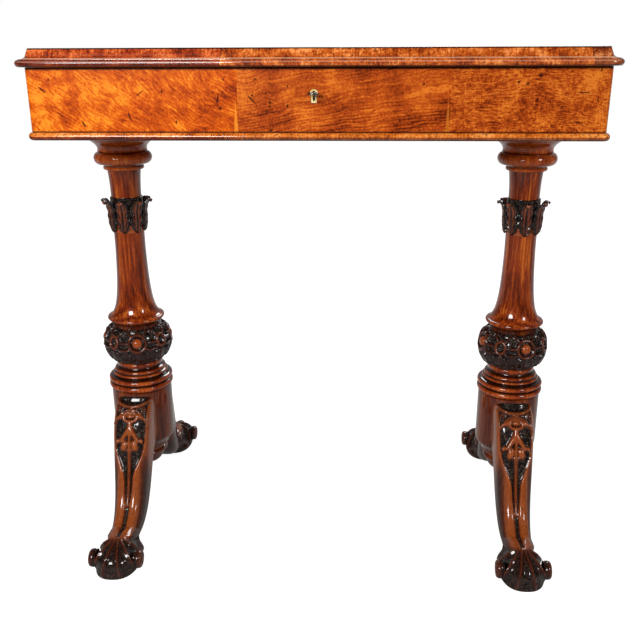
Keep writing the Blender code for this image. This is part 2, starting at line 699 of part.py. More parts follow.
def ball():
    """A flattened ball, carved with large and small bosses turn about above its widest level."""
    middle = BALL_H * BALL_MIDDLE
    rise = BALL_H - middle
    widest = (BALL_R, middle)
    lower = bezier((BALL_NECK_R, 0), (BALL_R, 0), (BALL_R, middle / 2), widest, 6)
    upper = bezier(widest, (BALL_R, middle + rise / 2), (BALL_R, BALL_H), (BALL_NECK_R, BALL_H), 6)
    mesh = turned(socket() + lower + upper[1:] + spigot(BALL_H), "ball", 4 * BOSSES)
    for vertex in mesh.vertices:
        radius = math.hypot(vertex.co.x, vertex.co.y)
        if radius < BALL_NECK_R:
            continue
        angle = math.atan2(vertex.co.y, vertex.co.x) - math.radians(BOSS_TURN)
        turn = angle / (2 * math.pi) * BOSSES
        boss = round(turn)
        size = BALL_R * (LARGE_BOSS if boss % 2 == 0 else SMALL_BOSS)
        along = (turn - boss) / BOSSES * 2 * math.pi * BALL_R
        far = math.hypot(along, vertex.co.z - middle - BOSS_RISE) / size
        lift = BOSS_OUT * max(0.0, 1 - far ** 2)
        vertex.co.x *= 1 + lift / radius
        vertex.co.y *= 1 + lift / radius
    return mesh


def shaft():
    """Slender shaft that flares to a rounded rim at its foot."""
    rim = FOOT_RIM_H / 2
    under = FOOT_RIM_Z - rim
    outline = socket()
    outline += bezier((SHAFT_FOOT_R, 0), (SHAFT_FOOT_R, under / 2), (FOOT_RIM_R - 2 * rim, under / 2),
                      (FOOT_RIM_R - rim, under), 3)
    outline += arc(FOOT_RIM_R - rim, FOOT_RIM_Z, rim, rim, -60, 75, 4)
    base = FOOT_RIM_Z + rim
    start = (FOOT_RIM_R - rim, base)
    flare = bezier(start, (SHAFT_R + (start[0] - SHAFT_R) / 4, base + FLARE_H / 16),
                   (SHAFT_R + (start[0] - SHAFT_R) / 10, base + FLARE_H / 2.5), (SHAFT_R, base + FLARE_H), 7)
    return turned(outline + flare + [(SHAFT_R, SHAFT_H)] + spigot(SHAFT_H), "shaft")


def leaf_collar():
    """Upright leaves round the shaft, their tips curling out."""
    below = [LEAF_CURL * i / LEAF_ROWS for i in range(LEAF_ROWS + 1)]
    heights = [LEAF_H * t for t in below + [(1 + 2 * LEAF_CURL) / 3, 1.0]]
    ground = SHAFT_R + CLEAR
    mesh = turned(socket() + [(ground, h) for h in heights] + spigot(LEAF_H), "leaf_collar", 4 * LEAVES)
    body = LEAF_TIP_R - ground
    for vertex in mesh.vertices:
        radius = math.hypot(vertex.co.x, vertex.co.y)
        if radius < SHAFT_R:
            continue
        t = vertex.co.z / LEAF_H
        turn = math.atan2(vertex.co.y, vertex.co.x) / (2 * math.pi) * LEAVES
        ridge = math.cos(math.pi * (turn - round(turn))) ** 2
        swell = LEAF_SWELL * math.sin(math.pi * min(t / LEAF_CURL, 1.0)) ** 0.7
        curl = math.exp(-((t - LEAF_CURL) / LEAF_CURL_H) ** 2)
        lift = body * (swell * (LEAF_HOLLOW + (1 - LEAF_HOLLOW) * ridge) + curl * ridge * (1 - swell))
        vertex.co.x *= 1 + lift / radius
        vertex.co.y *= 1 + lift / radius
    return mesh


def neck():
    outline = socket() + [(NECK_R, 0), (NECK_R, NECK_H / 5), (NECK_TOP_R, NECK_H)]
    return turned(outline + spigot(NECK_H), "neck")


def capital():
    """Fillet, torus ring, and a flared top that carries the box."""
    fillet_r = NECK_TOP_R + CAPITAL_FILLET / 2
    ring = CAPITAL_RING_H / 2
    ring_top = CAPITAL_RING_Z + ring
    plate_z = CAPITAL_H - CAPITAL_PLATE
    middle = (ring_top + plate_z) / 2
    outline = socket() + [(fillet_r, 0), (fillet_r, CAPITAL_FILLET)]
    outline += arc(CAPITAL_RING_R - ring, CAPITAL_RING_Z, ring, ring, -65, 80, 5)
    outline += bezier((CAPITAL_NECK_R, ring_top), (CAPITAL_NECK_R, middle), (CAPITAL_TOP_R, middle),
                      (CAPITAL_TOP_R, plate_z), 5)
    return turned(outline + [(CAPITAL_TOP_R, CAPITAL_H)] + spigot(CAPITAL_H, BOTTOM_T), "capital")


def drop():
    """Turned pendant under the drum."""
    ring = DROP_RING_H / 2
    low = DROP_H - 2 * DROP_RING_H
    outline = [(0, 0)]
    outline += bezier((DROP_TIP_R, 0), (DROP_R * 0.7, 0), (DROP_R * 0.75, low / 2), (DROP_R - ring, low), 4)
    outline += arc(DROP_R - ring, low + ring, ring, ring, -50, 70, 3)
    return turned(outline + [(DROP_R - ring / 2, DROP_H)] + spigot(DROP_H), "drop")


# Legs: the section runs between an upper and a lower line, from the drum's flat to the floor

LEG_TOP = DRUM_TOP - 4 * CLEAR
LEG_LOW = DRUM_Z + DRUM_TAPER / 2
TENON_TOP = LEG_TOP - TENON_INSET
TENON_LOW = LEG_LOW + TENON_INSET
SIDES = 4 * TOES         # a facet on every ridge and hollow of the toes


def section(top, low, half_width, square, ridges=0.0):
    """One section of a leg: an oval whose squareness grows with the power, with toe ridges."""
    points = []
    for i in range(SIDES):
        a = 2 * math.pi * i / SIDES
        x = math.copysign(abs(math.cos(a)) ** (1 / square), math.cos(a)) * half_width
        s = math.copysign(abs(math.sin(a)) ** (1 / square), math.sin(a))
        if s > 0:
            s *= 1 - ridges * (1 - math.cos(2 * TOES * (a - math.pi / 2))) / 2
        out = (top[0] + low[0]) / 2 + s * (top[0] - low[0]) / 2
        height = (top[1] + low[1]) / 2 + s * (top[1] - low[1]) / 2
        points.append((x, -out, height))
    return points


def leg():
    seat = LEG_SEAT + CLEAR
    ankle_low = (ANKLE_REACH - ANKLE_RUN / 2, ANKLE_Z - ANKLE_RISE / 2)
    ankle_top = (ANKLE_REACH + ANKLE_RUN / 2, ANKLE_Z + ANKLE_RISE / 2)
    upper = bezier((seat, LEG_TOP), (KNEE_REACH, LEG_TOP), (SHIN_REACH, SHIN_Z), ankle_top, 8)
    lower = bezier((seat, LEG_LOW), (CALF_REACH, LEG_LOW), (CALF_REACH, CALF_Z), ankle_low, 8)
    instep = (ankle_top[0] + ANKLE_RUN / 2, FOOT_H)
    toe_top = bezier(ankle_top, instep, (FOOT_REACH, FOOT_H), (FOOT_REACH, TOE_Z), 6)
    heel_low = bezier(ankle_low, (HEEL_REACH, ankle_low[1]), (HEEL_REACH, HEEL_Z), (HEEL_REACH, HEEL_Z), 6)
    rings = []
    for reach in (seat - TENON_L, seat):
        rings.append(section((reach, TENON_TOP), (reach, TENON_LOW), TENON_W / 2, TENON_SQUARE))
    for i, (top, low) in enumerate(zip(upper, lower)):
        t = i / (len(upper) - 1)
        half = LEG_HALF_W + (ANKLE_HALF_W - LEG_HALF_W) * t ** 1.5
        rings.append(section(top, low, half, SEAT_SQUARE + (ANKLE_SQUARE - SEAT_SQUARE) * t))
    for i, (top, low) in enumerate(zip(toe_top, heel_low)):
        if i == 0:
            continue
        t = i / (len(toe_top) - 1)
        half = ANKLE_HALF_W + (FOOT_HALF_W - ANKLE_HALF_W) * math.sin(math.pi / 2 * t)
        rings.append(section(top, low, half, ANKLE_SQUARE, TOE_DEPTH * t))
    toe = (FOOT_REACH - SOLE_EDGE, 0)
    heel = (HEEL_REACH + SOLE_EDGE, 0)
    rings.append(section(toe, heel, FOOT_HALF_W - SOLE_EDGE, ANKLE_SQUARE, TOE_DEPTH))
    return loft(rings, "leg", 50)


pieces = {
    "drop_finial": (drop(), TURNED_WALNUT, DRUM_Z - CLEAR - DROP_H),
    "drum": (drum(), CARVED_WALNUT, DRUM_Z),
    "ring_collar": (collar(), TURNED_WALNUT, COLLAR_Z),
    "carved_ball": (ball(), CARVED_WALNUT, BALL_Z),
    "lower_shaft": (shaft(), TURNED_WALNUT, SHAFT_Z),
    "leaf_collar": (leaf_collar(), CARVED_WALNUT, LEAF_Z),
    "upper_shaft": (neck(), TURNED_WALNUT, NECK_Z),
    "capital": (capital(), TURNED_WALNUT, CAPITAL_Z),
}
leg_mesh = leg()
for word, side in (("left", -1), ("right", 1)):
    for name, (mesh, material, level) in pieces.items():
        own = mesh.copy() if name == "drum" else mesh
        piece = add(f"{word}_{name}", own, material, (side * COLUMN_X, 0, level))
        if name != "drum":
            continue
        for end in (-1, 1):
            flat = block((-DRUM_R, LEG_SEAT, -DRUM_H), (DRUM_R, 2 * DRUM_R, 2 * DRUM_H), "flat")
            slot = block((-TENON_W / 2 - CLEAR, LEG_SEAT - TENON_L - CLEAR, TENON_LOW - CLEAR - DRUM_Z),
                         (TENON_W / 2 + CLEAR, 2 * DRUM_R, TENON_TOP + CLEAR - DRUM_Z), "slot")
            for tool in (flat, slot):
                tool.transform(Matrix.Rotation(math.pi / 2 * (1 - end), 4, "Z"))
                cut(piece, [tool])
    add(f"{word}_front_leg", leg_mesh, CARVED_WALNUT, (side * COLUMN_X, 0, 0))
    add(f"{word}_back_leg", leg_mesh, CARVED_WALNUT, (side * COLUMN_X, 0, 0), math.pi)
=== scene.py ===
"""Looks of the Victorian walnut work table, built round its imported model.

Metres, +Z up, front towards -Y, the same frame as the model. Read from the room inwards: the view
and its light, the box with its lid and lock, the columns' turned sections from the top down, then
their carved balls and leaf collars, and the legs.
"""
import json
import math

import bpy
import numpy as np
from mathutils import Matrix, Vector
from mathutils.geometry import interpolate_bezier

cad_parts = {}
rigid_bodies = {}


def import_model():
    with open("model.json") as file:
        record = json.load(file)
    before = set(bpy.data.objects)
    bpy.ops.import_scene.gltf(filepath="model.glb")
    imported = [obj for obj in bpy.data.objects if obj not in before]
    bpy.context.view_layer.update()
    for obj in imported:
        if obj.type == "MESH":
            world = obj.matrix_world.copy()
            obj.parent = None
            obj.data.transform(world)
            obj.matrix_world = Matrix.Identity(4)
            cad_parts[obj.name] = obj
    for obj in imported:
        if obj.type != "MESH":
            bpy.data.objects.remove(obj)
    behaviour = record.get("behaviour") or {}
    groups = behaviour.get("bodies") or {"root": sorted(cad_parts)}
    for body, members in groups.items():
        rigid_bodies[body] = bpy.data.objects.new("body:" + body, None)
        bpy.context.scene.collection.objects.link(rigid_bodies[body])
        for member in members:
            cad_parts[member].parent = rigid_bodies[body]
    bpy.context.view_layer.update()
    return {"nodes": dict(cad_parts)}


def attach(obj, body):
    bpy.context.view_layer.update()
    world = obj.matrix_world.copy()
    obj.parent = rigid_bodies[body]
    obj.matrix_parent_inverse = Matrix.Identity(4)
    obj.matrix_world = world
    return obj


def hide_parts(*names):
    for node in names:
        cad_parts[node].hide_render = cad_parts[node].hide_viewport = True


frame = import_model()
nodes = frame["nodes"]
scene = bpy.context.scene
scene.view_settings.view_transform = "Standard"


# The view: a camera level with the lid, near the middle of the table and tilted down at it, with a
# plain lens and no shift, so that the table stands in the square picture as in the photograph.

CAMERA_PLACE = (0.0531, -1.1315, 0.7040)
CAMERA_TURN = (70.963, 2.921, -0.216)   # degrees: tilt from straight down, turn to the left, roll
LENS = 44.03                            # mm
SENSOR = 36                             # mm across

view = bpy.data.cameras.new("view")
view.lens = LENS
view.sensor_width = SENSOR
camera = bpy.data.objects.new("view", view)
scene.collection.objects.link(camera)
tilt, heading, roll = (math.radians(a) for a in CAMERA_TURN)
sight = Matrix.Rotation(heading, 4, "Z") @ Matrix.Rotation(tilt, 4, "X") @ Matrix.Rotation(roll, 4, "Z")
camera.matrix_world = Matrix.Translation(CAMERA_PLACE) @ sight
scene.camera = camera


# The room: a white paper sweep under and behind the table, lit by a lamp at each side of the view and
# one behind. The camera and glass see plain white all round; polish mirrors the sweep behind and the
# dim room in front.

def linear(code):
    """An sRGB hex colour as linear red, green, blue and alpha."""
    parts = [int(code[i:i + 2], 16) / 255 for i in (1, 3, 5)]
    return (*[c / 12.92 if c <= 0.04045 else ((c + 0.055) / 1.055) ** 2.4 for c in parts], 1.0)


def node(tree, kind, sockets=None, stops=None, **settings):
    """One shader node, with its settings, its sockets' values or links and, on a ramp, its stops.

    A node given for a socket is linked by its first output in use.
    """
    made = tree.nodes.new("ShaderNode" + kind)
    for name, value in settings.items():
        setattr(made, name, value)
    for name, value in (sockets or {}).items():
        if isinstance(value, bpy.types.Node):
            value = next(output for output in value.outputs if output.enabled)
        if isinstance(value, bpy.types.NodeSocket):
            tree.links.new(value, made.inputs[name])
        else:
            made.inputs[name].default_value = value
    for i, (place, code) in enumerate(stops or ()):
        ramp = made.color_ramp.elements
        stop = ramp[i] if i < 2 else ramp.new(place)
        stop.position = place
        stop.color = linear(code)
    return made


def blank_finish(name):
    """A new material, its empty node tree, and the Object coordinates that place its patterns."""
    material = bpy.data.materials.new(name)
    material.use_nodes = True
    tree = material.node_tree
    tree.nodes.clear()
    return material, tree, node(tree, "TexCoord").outputs["Object"]


POLISH_WHITE = 0.25             # how much of the white the polish mirrors


def white_share(tree, rays, place, edge):
    """How far a ray finds white: wholly for camera and glass, in part for polish where Y passes an edge."""
    far = node(tree, "SeparateXYZ", {0: place}).outputs["Y"]
    far = node(tree, "MapRange", {"Value": far, "From Min": edge[0], "From Max": edge[1],
                                  "To Max": POLISH_WHITE}, interpolation_type="SMOOTHSTEP")
    polish = node(tree, "Math", {0: rays["Is Glossy Ray"], 1: far}, operation="MULTIPLY")
    clear = node(tree, "Math", {0: rays["Is Camera Ray"], 1: rays["Is Transmission Ray"]},
                 operation="MAXIMUM")
    return node(tree, "Math", {0: clear, 1: polish}, operation="MAXIMUM")


FLOOR_SIZE = 12.0
FLOOR_COLOUR = "#A3A2A0"
FLOOR_GLOW = 0.93               # white that the camera sees on top of the floor's own light
SWEEP_EDGE = (-0.10, 0.50)      # from where to where polish comes to mirror a white floor, along Y
BACKDROP_EDGE = (0.30, 0.90)    # and a white backdrop, by the Y of a direction
STUDIO_LIGHT = 0.32
ROOM_LIGHT = 0.05               # what polish mirrors of the room in front

bpy.ops.mesh.primitive_plane_add(size=FLOOR_SIZE)
floor = bpy.context.object
floor.name = "floor"
paint, tree, place = blank_finish("matt studio paint")
rays = node(tree, "LightPath").outputs
share = white_share(tree, rays, place, SWEEP_EDGE)
glow = node(tree, "Math", {0: share, 1: FLOOR_GLOW}, operation="MULTIPLY")
matt = node(tree, "BsdfDiffuse", {"Color": linear(FLOOR_COLOUR)})
white = node(tree, "Emission", {"Strength": glow})
both = node(tree, "AddShader", {0: matt, 1: white})
node(tree, "OutputMaterial", {"Surface": both})
floor.data.materials.append(paint)

world = bpy.data.worlds.new("studio")
scene.world = world
world.use_nodes = True
tree = world.node_tree
tree.nodes.clear()
rays = node(tree, "LightPath").outputs
share = white_share(tree, rays, node(tree, "TexCoord").outputs["Generated"], BACKDROP_EDGE)
dim = node(tree, "MapRange", {"Value": rays["Is Glossy Ray"], "To Min": STUDIO_LIGHT, "To Max": ROOM_LIGHT})
level = node(tree, "MapRange", {"Value": share, "To Min": dim, "To Max": 1.0})
air = node(tree, "Background", {"Color": linear("#FFFFFF"), "Strength": level})
node(tree, "OutputWorld", {"Surface": air})

LAMP_AIM = (0.0, 0.0, 0.45)
# Name: place, width and height in metres, and watts
LAMPS = {
    "left lamp": ((-0.62, -1.45, 1.10), (0.58, 0.44), 18.5),
    "right lamp": ((1.25, -1.10, 1.10), (0.30, 0.34), 5.5),
    "back lamp": ((0.50, 2.20, 1.90), (1.20, 0.80), 26),
}
for name, (place, size, watts) in LAMPS.items():
    lamp = bpy.data.lights.new(name, "AREA")
    lamp.shape = "RECTANGLE"
    lamp.size, lamp.size_y = size
    lamp.energy = watts
    holder = bpy.data.objects.new(name, lamp)
    scene.collection.objects.link(holder)
    holder.location = place
    holder.rotation_euler = (Vector(LAMP_AIM) - Vector(place)).to_track_quat("-Z", "Y").to_euler()


# Walls: softwood boards under saw-cut burr walnut veneer, glued down and French polished.
# The front has three leaves of veneer: a golden diagonal one, a sweeping one and a close burr.

BOX_W = 0.667
BOX_D = 0.417
WALL_Z = 0.6136                         # foot of the walls, painted dark as shade just over the base bead
WALL_TOP = 0.6861                       # head of the walls, under the lid; a band of painted shadow lies below it
VENEER_JOINTS = (-0.0878, 0.1550)       # where the front's leaves of veneer meet, along X
PATCH_W = 0.0050                        # let-in slip of paler veneer at each joint, at its foot
PATCH_TOP = 0.6530
PATCH_STRENGTHS = (0.60, 0.28)
GOLDEN = ((0.38, "#7E2802"), (0.45, "#BA4604"), (0.52, "#DA600A"), (0.60, "#FC9222"))
LINEN = ((0.40, "#4E1803"), (0.46, "#9A3A0A"), (0.51, "#BA5012"), (0.57, "#E27C26"))
TAWNY = ((0.38, "#5E1E04"), (0.45, "#9A3A0A"), (0.52, "#BC5012"), (0.60, "#E27822"))
SWIRL = 0.060                           # size of the swirls
SWIRL_REACH = 0.032                     # and how far they carry the figure
SPECK = 0.0026
KNOT_ROOM = 0.017                       # room of each scattered pin knot; one in five is drawn
LINE_GAP = 0.0017                       # half the spacing of the sweeping leaf's growth lines
LINE_FALL = 0.25                        # how steeply they fall from the left joint
LINE_BEND = 0.48                        # and how they bend up again, per metre
LINE_FADE = (0.630, 0.660)              # levels between which they fade
GOLD_FADE = -0.28                       # X of the golden leaf's brightest end
BURR_PAINTED_LIGHT = (0.285, 0.330)              # X between which painted light brightens the close burr towards its end
VIEW_PIXELS = 640                       # across and down the square view
FRONT_ROW = 100                         # a row of pixels half way up the front
# Pin knots and shakes of the front, read one by one: pixels across and down the view, half sizes in
# pixels, and turn in degrees
KNOTS = (
    (42, 90, 5.0, 1.0, 40), (60, 114.5, 4.5, 0.6, 35), (84, 124.5, 1.0, 3.5, -30),
    (129.5, 116.5, 1.0, 4.0, -15), (140, 93, 6.0, 0.5, -40), (161.5, 91.5, 1.0, 1.8, 0),
    (176.5, 122, 1.0, 1.8, 0), (217.5, 99, 1.0, 5.0, 12), (220, 108.5, 1.7, 1.5, 0),
    (223, 79.5, 0.8, 1.4, 0), (251.5, 99.5, 6.0, 1.1, 47), (252, 95.5, 1.3, 1.3, 0),
    (255, 79, 1.8, 0.8, -20), (265.5, 93.5, 1.1, 1.1, 0), (270, 102.5, 1.3, 1.7, 0),
    (270, 106.5, 1.1, 1.2, 0), (287.5, 86.5, 0.9, 1.4, 0), (287.5, 106, 1.0, 2.2, 0),
    (400, 121, 1.2, 0.9, 0), (424, 84, 1.0, 1.6, 0), (519, 82, 1.6, 1.4, 0),
    (537.5, 100, 1.0, 2.2, 8), (541, 75, 2.4, 2.0, 0), (551.5, 126, 1.8, 0.9, -10),
    (578, 122.5, 5.0, 0.8, 8), (584, 92.5, 7.0, 0.7, 3), (598, 99.5, 0.6, 3.2, 0),
)


def on_front(across, down):
    """The point of the box's front that lies behind a pixel of the view."""
    pixel = SENSOR / LENS / VIEW_PIXELS
    ray = sight @ Vector(((across - VIEW_PIXELS / 2) * pixel, (VIEW_PIXELS / 2 - down) * pixel, -1))
    return Vector(CAMERA_PLACE) + ray * ((-BOX_D / 2 - CAMERA_PLACE[1]) / ray.y)


PIXEL_ON_FRONT = on_front(VIEW_PIXELS / 2 + 1, FRONT_ROW).x - on_front(VIEW_PIXELS / 2, FRONT_ROW).x


def polished(tree, colour, roughness, height, depth, coat=0.30):
    """French polish on wood: a clear, even gloss over grain that still shows a trace of relief."""
    bump = node(tree, "Bump", {"Height": height, "Distance": depth})
    shader = node(tree, "BsdfPrincipled", {
        "Base Color": colour, "Roughness": roughness, "Normal": bump,
        "Specular IOR Level": 0.12, "Coat Weight": coat, "Coat Roughness": 0.06, "Coat IOR": 1.5})
    node(tree, "OutputMaterial", {"Surface": shader})


def near_edge(tree, place, size, depth):
    """1 where a place lies within a depth of the outside of a width and depth about the middle, else 0."""
    away = node(tree, "VectorMath", {0: place}, operation="ABSOLUTE")
    inner = (size[0] / 2 - depth, size[1] / 2 - depth, 0)
    away = node(tree, "VectorMath", {0: away, 1: inner}, operation="SUBTRACT")
    away = node(tree, "SeparateXYZ", {0: away}).outputs
    most = node(tree, "Math", {0: away["X"], 1: away["Y"]}, operation="MAXIMUM")
    return node(tree, "Math", {0: most, 1: 0.0}, operation="GREATER_THAN")


def mottle(tree, place, size, detail, roughness=0.5, turn=0):
    """Mottling drawn out to a real size along X, Y and Z, and turned about Y by some degrees."""
    lie = node(tree, "Mapping", {"Vector": place, "Rotation": (0, math.radians(turn), 0), "Scale": size},
               vector_type="TEXTURE")
    return node(tree, "TexNoise", {"Vector": lie, "Scale": 1.0, "Detail": detail, "Roughness": roughness})


def blend(tree, parts):
    """The sum of several patterns, each times its share."""
    total = 0.0
    for pattern, share in parts:
        total = node(tree, "Math", {0: pattern, 1: share, 2: total}, operation="MULTIPLY_ADD")
    return total


def stain(tree, colour, where, strength, code):
    """A colour with another tone laid over it where a pattern is 1, as strongly as is said."""
    share = node(tree, "Math", {0: where, 1: strength}, operation="MULTIPLY")
    return node(tree, "Mix", {"Factor": share, 6: colour, 7: linear(code)}, data_type="RGBA")


def burr_walnut(name, leaf):
    """Burr walnut veneer: swirling growth lines, streaks, pin knots and fine pores under polish, with
    painted shade at the foot and head of the walls.
    """
    material, tree, place = blank_finish(name)
    spot = node(tree, "SeparateXYZ", {0: place}).outputs
    swirl = mottle(tree, place, (SWIRL,) * 3, 2.0).outputs["Color"]
    drift = node(tree, "VectorMath", {0: swirl, 1: (0.5, 0.5, 0.5)}, operation="SUBTRACT")
    drift = node(tree, "VectorMath", {0: drift, "Scale": SWIRL_REACH}, operation="SCALE")
    wander = node(tree, "VectorMath", {0: place, 1: drift})
    specks = mottle(tree, place, (SPECK,) * 3, 4.0, 0.6)
    cloud = mottle(tree, wander, (0.022,) * 3, 3.0, 0.6)

    stripes = mottle(tree, wander, (0.014, 0.014, 0.0022), 3.0, 0.6, turn=40)
    fade = node(tree, "MapRange", {"Value": spot["X"], "From Min": GOLD_FADE, "From Max": VENEER_JOINTS[0],
                                   "To Min": 0.025, "To Max": -0.035})
    golden = blend(tree, ((stripes, 0.38), (cloud, 0.40), (specks, 0.22), (fade, 1.0)))
    gold_tone = node(tree, "ValToRGB", {"Fac": golden}, stops=GOLDEN)

    gentle = node(tree, "VectorMath", {0: drift, 1: (0.25, 0.25, 0.25), 2: place}, operation="MULTIPLY_ADD")
    gentle = node(tree, "SeparateXYZ", {0: gentle}).outputs
    past = node(tree, "Math", {0: gentle["X"], 1: VENEER_JOINTS[0]}, operation="SUBTRACT")
    slope = node(tree, "Math", {0: past, 1: LINE_BEND, 2: -LINE_FALL}, operation="MULTIPLY_ADD")
    rise = node(tree, "Math", {0: past, 1: slope, 2: gentle["Z"]}, operation="MULTIPLY_ADD")
    lines = node(tree, "Math", {0: rise, 1: 1 / LINE_GAP}, operation="MULTIPLY")
    lines = node(tree, "Math", {0: lines, 1: 1.0}, operation="PINGPONG")
    lines = node(tree, "Math", {0: lines, 1: 0.5}, operation="SUBTRACT")
    plain = node(tree, "MapRange", {"Value": spot["Z"], "From Min": LINE_FADE[0], "From Max": LINE_FADE[1],
                                    "To Min": 0.070, "To Max": 0.015})
    bands = mottle(tree, wander, (0.060, 0.060, 0.0024), 3.0, 0.6, turn=-10)
    broad = mottle(tree, wander, (0.036,) * 3, 3.0, 0.6)
    sweeping = blend(tree, ((bands, 0.34), (broad, 0.36), (specks, 0.30), (lines, plain)))
    sweep_tone = node(tree, "ValToRGB", {"Fac": sweeping}, stops=TAWNY)

    level = mottle(tree, wander, (0.0080, 0.0080, 0.0012), 3.0, 0.6)
    upright = mottle(tree, wander, (0.0070, 0.0070, 0.0013), 3.0, 0.6, turn=90)
    # Painted light: the close burr brightens towards its right end.
    glow = node(tree, "MapRange", {"Value": spot["X"], "From Min": BURR_PAINTED_LIGHT[0], "From Max": BURR_PAINTED_LIGHT[1],
                                   "To Max": 0.035})
    close = blend(tree, ((level, 0.36), (upright, 0.16), (cloud, 0.26), (specks, 0.22), (glow, 1.0)))
    close_tone = node(tree, "ValToRGB", {"Fac": close}, stops=LINEN)

    figure, colour = (golden, gold_tone) if leaf == "golden" else (sweeping, sweep_tone)
    if leaf == "front":
        left = node(tree, "Math", {0: spot["X"], 1: VENEER_JOINTS[0]}, operation="LESS_THAN")
        right = node(tree, "Math", {0: spot["X"], 1: VENEER_JOINTS[1]}, operation="GREATER_THAN")
        colour = node(tree, "Mix", {"Factor": left, 6: sweep_tone, 7: gold_tone}, data_type="RGBA")
        colour = node(tree, "Mix", {"Factor": right, 6: colour, 7: close_tone}, data_type="RGBA")
        low = node(tree, "Math", {0: spot["Z"], 1: PATCH_TOP}, operation="LESS_THAN")
        taper = node(tree, "MapRange", {"Value": spot["Z"], "From Min": WALL_Z, "From Max": PATCH_TOP,
                                        "To Min": PATCH_W / 2, "To Max": 0.0})
        for joint, strength in zip(VENEER_JOINTS, PATCH_STRENGTHS):
            patch = node(tree, "Math", {0: spot["X"], 1: joint - PATCH_W / 2, 2: taper},
                         operation="COMPARE")
            patch = node(tree, "Math", {0: patch, 1: low}, operation="MULTIPLY")
            colour = stain(tree, colour, patch, strength, "#FFA030")
        for across, down, wide, tall, turn in KNOTS:
            lie = node(tree, "Mapping", {"Vector": place, "Location": on_front(across, down),
                                         "Rotation": (0, math.radians(turn), 0),
                                         "Scale": (wide * PIXEL_ON_FRONT, 1, tall * PIXEL_ON_FRONT)},
                       vector_type="TEXTURE")
            far = node(tree, "VectorMath", {0: lie}, operation="LENGTH")
            knot = node(tree, "MapRange", {"Value": far, "From Min": 0.65, "From Max": 1.2,
                                           "To Min": 1.0, "To Max": 0.0})
            colour = stain(tree, colour, knot, 0.90, "#3A1204")
    # Painted shade in the gap over the base bead: the foot of each wall is darkened.
    painted_shade = node(tree, "MapRange", {"Value": spot["Z"], "From Min": WALL_Z + 0.0008,
                                    "From Max": WALL_Z + 0.0022, "To Min": 1.0, "To Max": 0.0})
    colour = stain(tree, colour, painted_shade, 0.80, "#2C1005")
    # Painted shadow of the lid's overhang: a dark band at the head of each wall, under the lid.
    if leaf != "top":
        joint = node(tree, "MapRange", {"Value": spot["Z"], "From Min": WALL_TOP - 0.0032,
                                        "From Max": WALL_TOP - 0.0018})
        edge = near_edge(tree, place, (BOX_W, BOX_D), 0.0015)
        joint = node(tree, "Math", {0: joint, 1: edge}, operation="MULTIPLY")
        colour = stain(tree, colour, joint, 0.92, "#0C0402")
    knots = node(tree, "TexVoronoi", {"Vector": wander, "Scale": 1 / KNOT_ROOM})
    chosen = node(tree, "SeparateColor", {0: knots.outputs["Color"]})
    rare = node(tree, "Math", {0: chosen, 1: 0.80}, operation="GREATER_THAN")
    dot = node(tree, "MapRange", {"Value": knots, "From Min": 0.06, "From Max": 0.14,
                                  "To Min": 1.0, "To Max": 0.0})
    dot = node(tree, "Math", {0: dot, 1: rare}, operation="MULTIPLY")
    colour = stain(tree, colour, dot, 0.88, "#3A1405")
    gloss = node(tree, "MapRange", {"Value": specks, "To Min": 0.20, "To Max": 0.38})
    polished(tree, colour, gloss, figure, 0.00015, 0.0 if leaf == "top" else 0.30)
    return material


def dress(node_names, material):
    """Puts a finish on nodes of the model, whose shapes stay as they are."""
    for name in node_names:
        nodes[name].data.materials.clear()
        nodes[name].data.materials.append(material)


dress(["front_wall"], burr_walnut("burr walnut veneer, front", "front"))
dress(["back_wall"], burr_walnut("burr walnut veneer, back", "golden"))
dress(["left_wall", "right_wall"], burr_walnut("burr walnut veneer, sides", "sweeping"))
dress(["lid_panel"], burr_walnut("burr walnut veneer, top", "top"))


# Inside of the box: thin polished boards of plain mahogany-coloured wood, halved into each other
# and glued. Straight grain runs along X, with open pores under a thin wipe of polish.

PLAIN_BROWN = ((0.50, "#6B3113"), (0.62, "#8E4A22"), (0.72, "#A35D2E"), (0.86, "#B87340"))


def plain_wood(name):
    """Straight-grained wood: soft lengthwise bands and short dark pores, with a dull sheen."""
    material, tree, place = blank_finish(name)
    bands = mottle(tree, place, (0.120, 0.004, 0.004), 4.0)
    pores = mottle(tree, place, (0.006, 0.0006, 0.0006), 2.0)
    figure = blend(tree, ((bands, 1.0), (pores, 0.35)))
    colour = node(tree, "ValToRGB", {"Fac": figure}, stops=PLAIN_BROWN)
    polished(tree, colour, 0.45, pores, 0.0001)
    return material


dress(["bottom_board", "left_long_divider", "right_long_divider", "left_cross_divider",
       "right_cross_divider"], plain_wood("plain wood of the inside"))


# Base bead: a half-round of cross-grained walnut under the walls, mitred at the corners and glued
# to the box, its grain standing upright. One piece here stands for the four lengths.

WALL_T = 0.016
BASE_Z = 0.6043
BASE_H = 0.0090
BASE_OUT = 0.0045
BASE_CORNER = 0.0105
ARC_STEPS = 8
MERGE = 1e-6                # points closer than this are one
MOULDING_EDGE = 35          # degrees: sharper edges of the mouldings stay crisp
FRONT_JOINT = -0.1048       # X where lengths of moulding meet, on the base and the lid alike
SEAM_HALF = 0.0004


def leave_closed():
    """Merges the doubles of the mesh in edit mode, turns its faces outwards and leaves edit mode."""
    bpy.ops.mesh.select_all(action="SELECT")
    bpy.ops.mesh.remove_doubles(threshold=MERGE)
    bpy.ops.mesh.normals_make_consistent()
    bpy.ops.object.mode_set(mode="OBJECT")


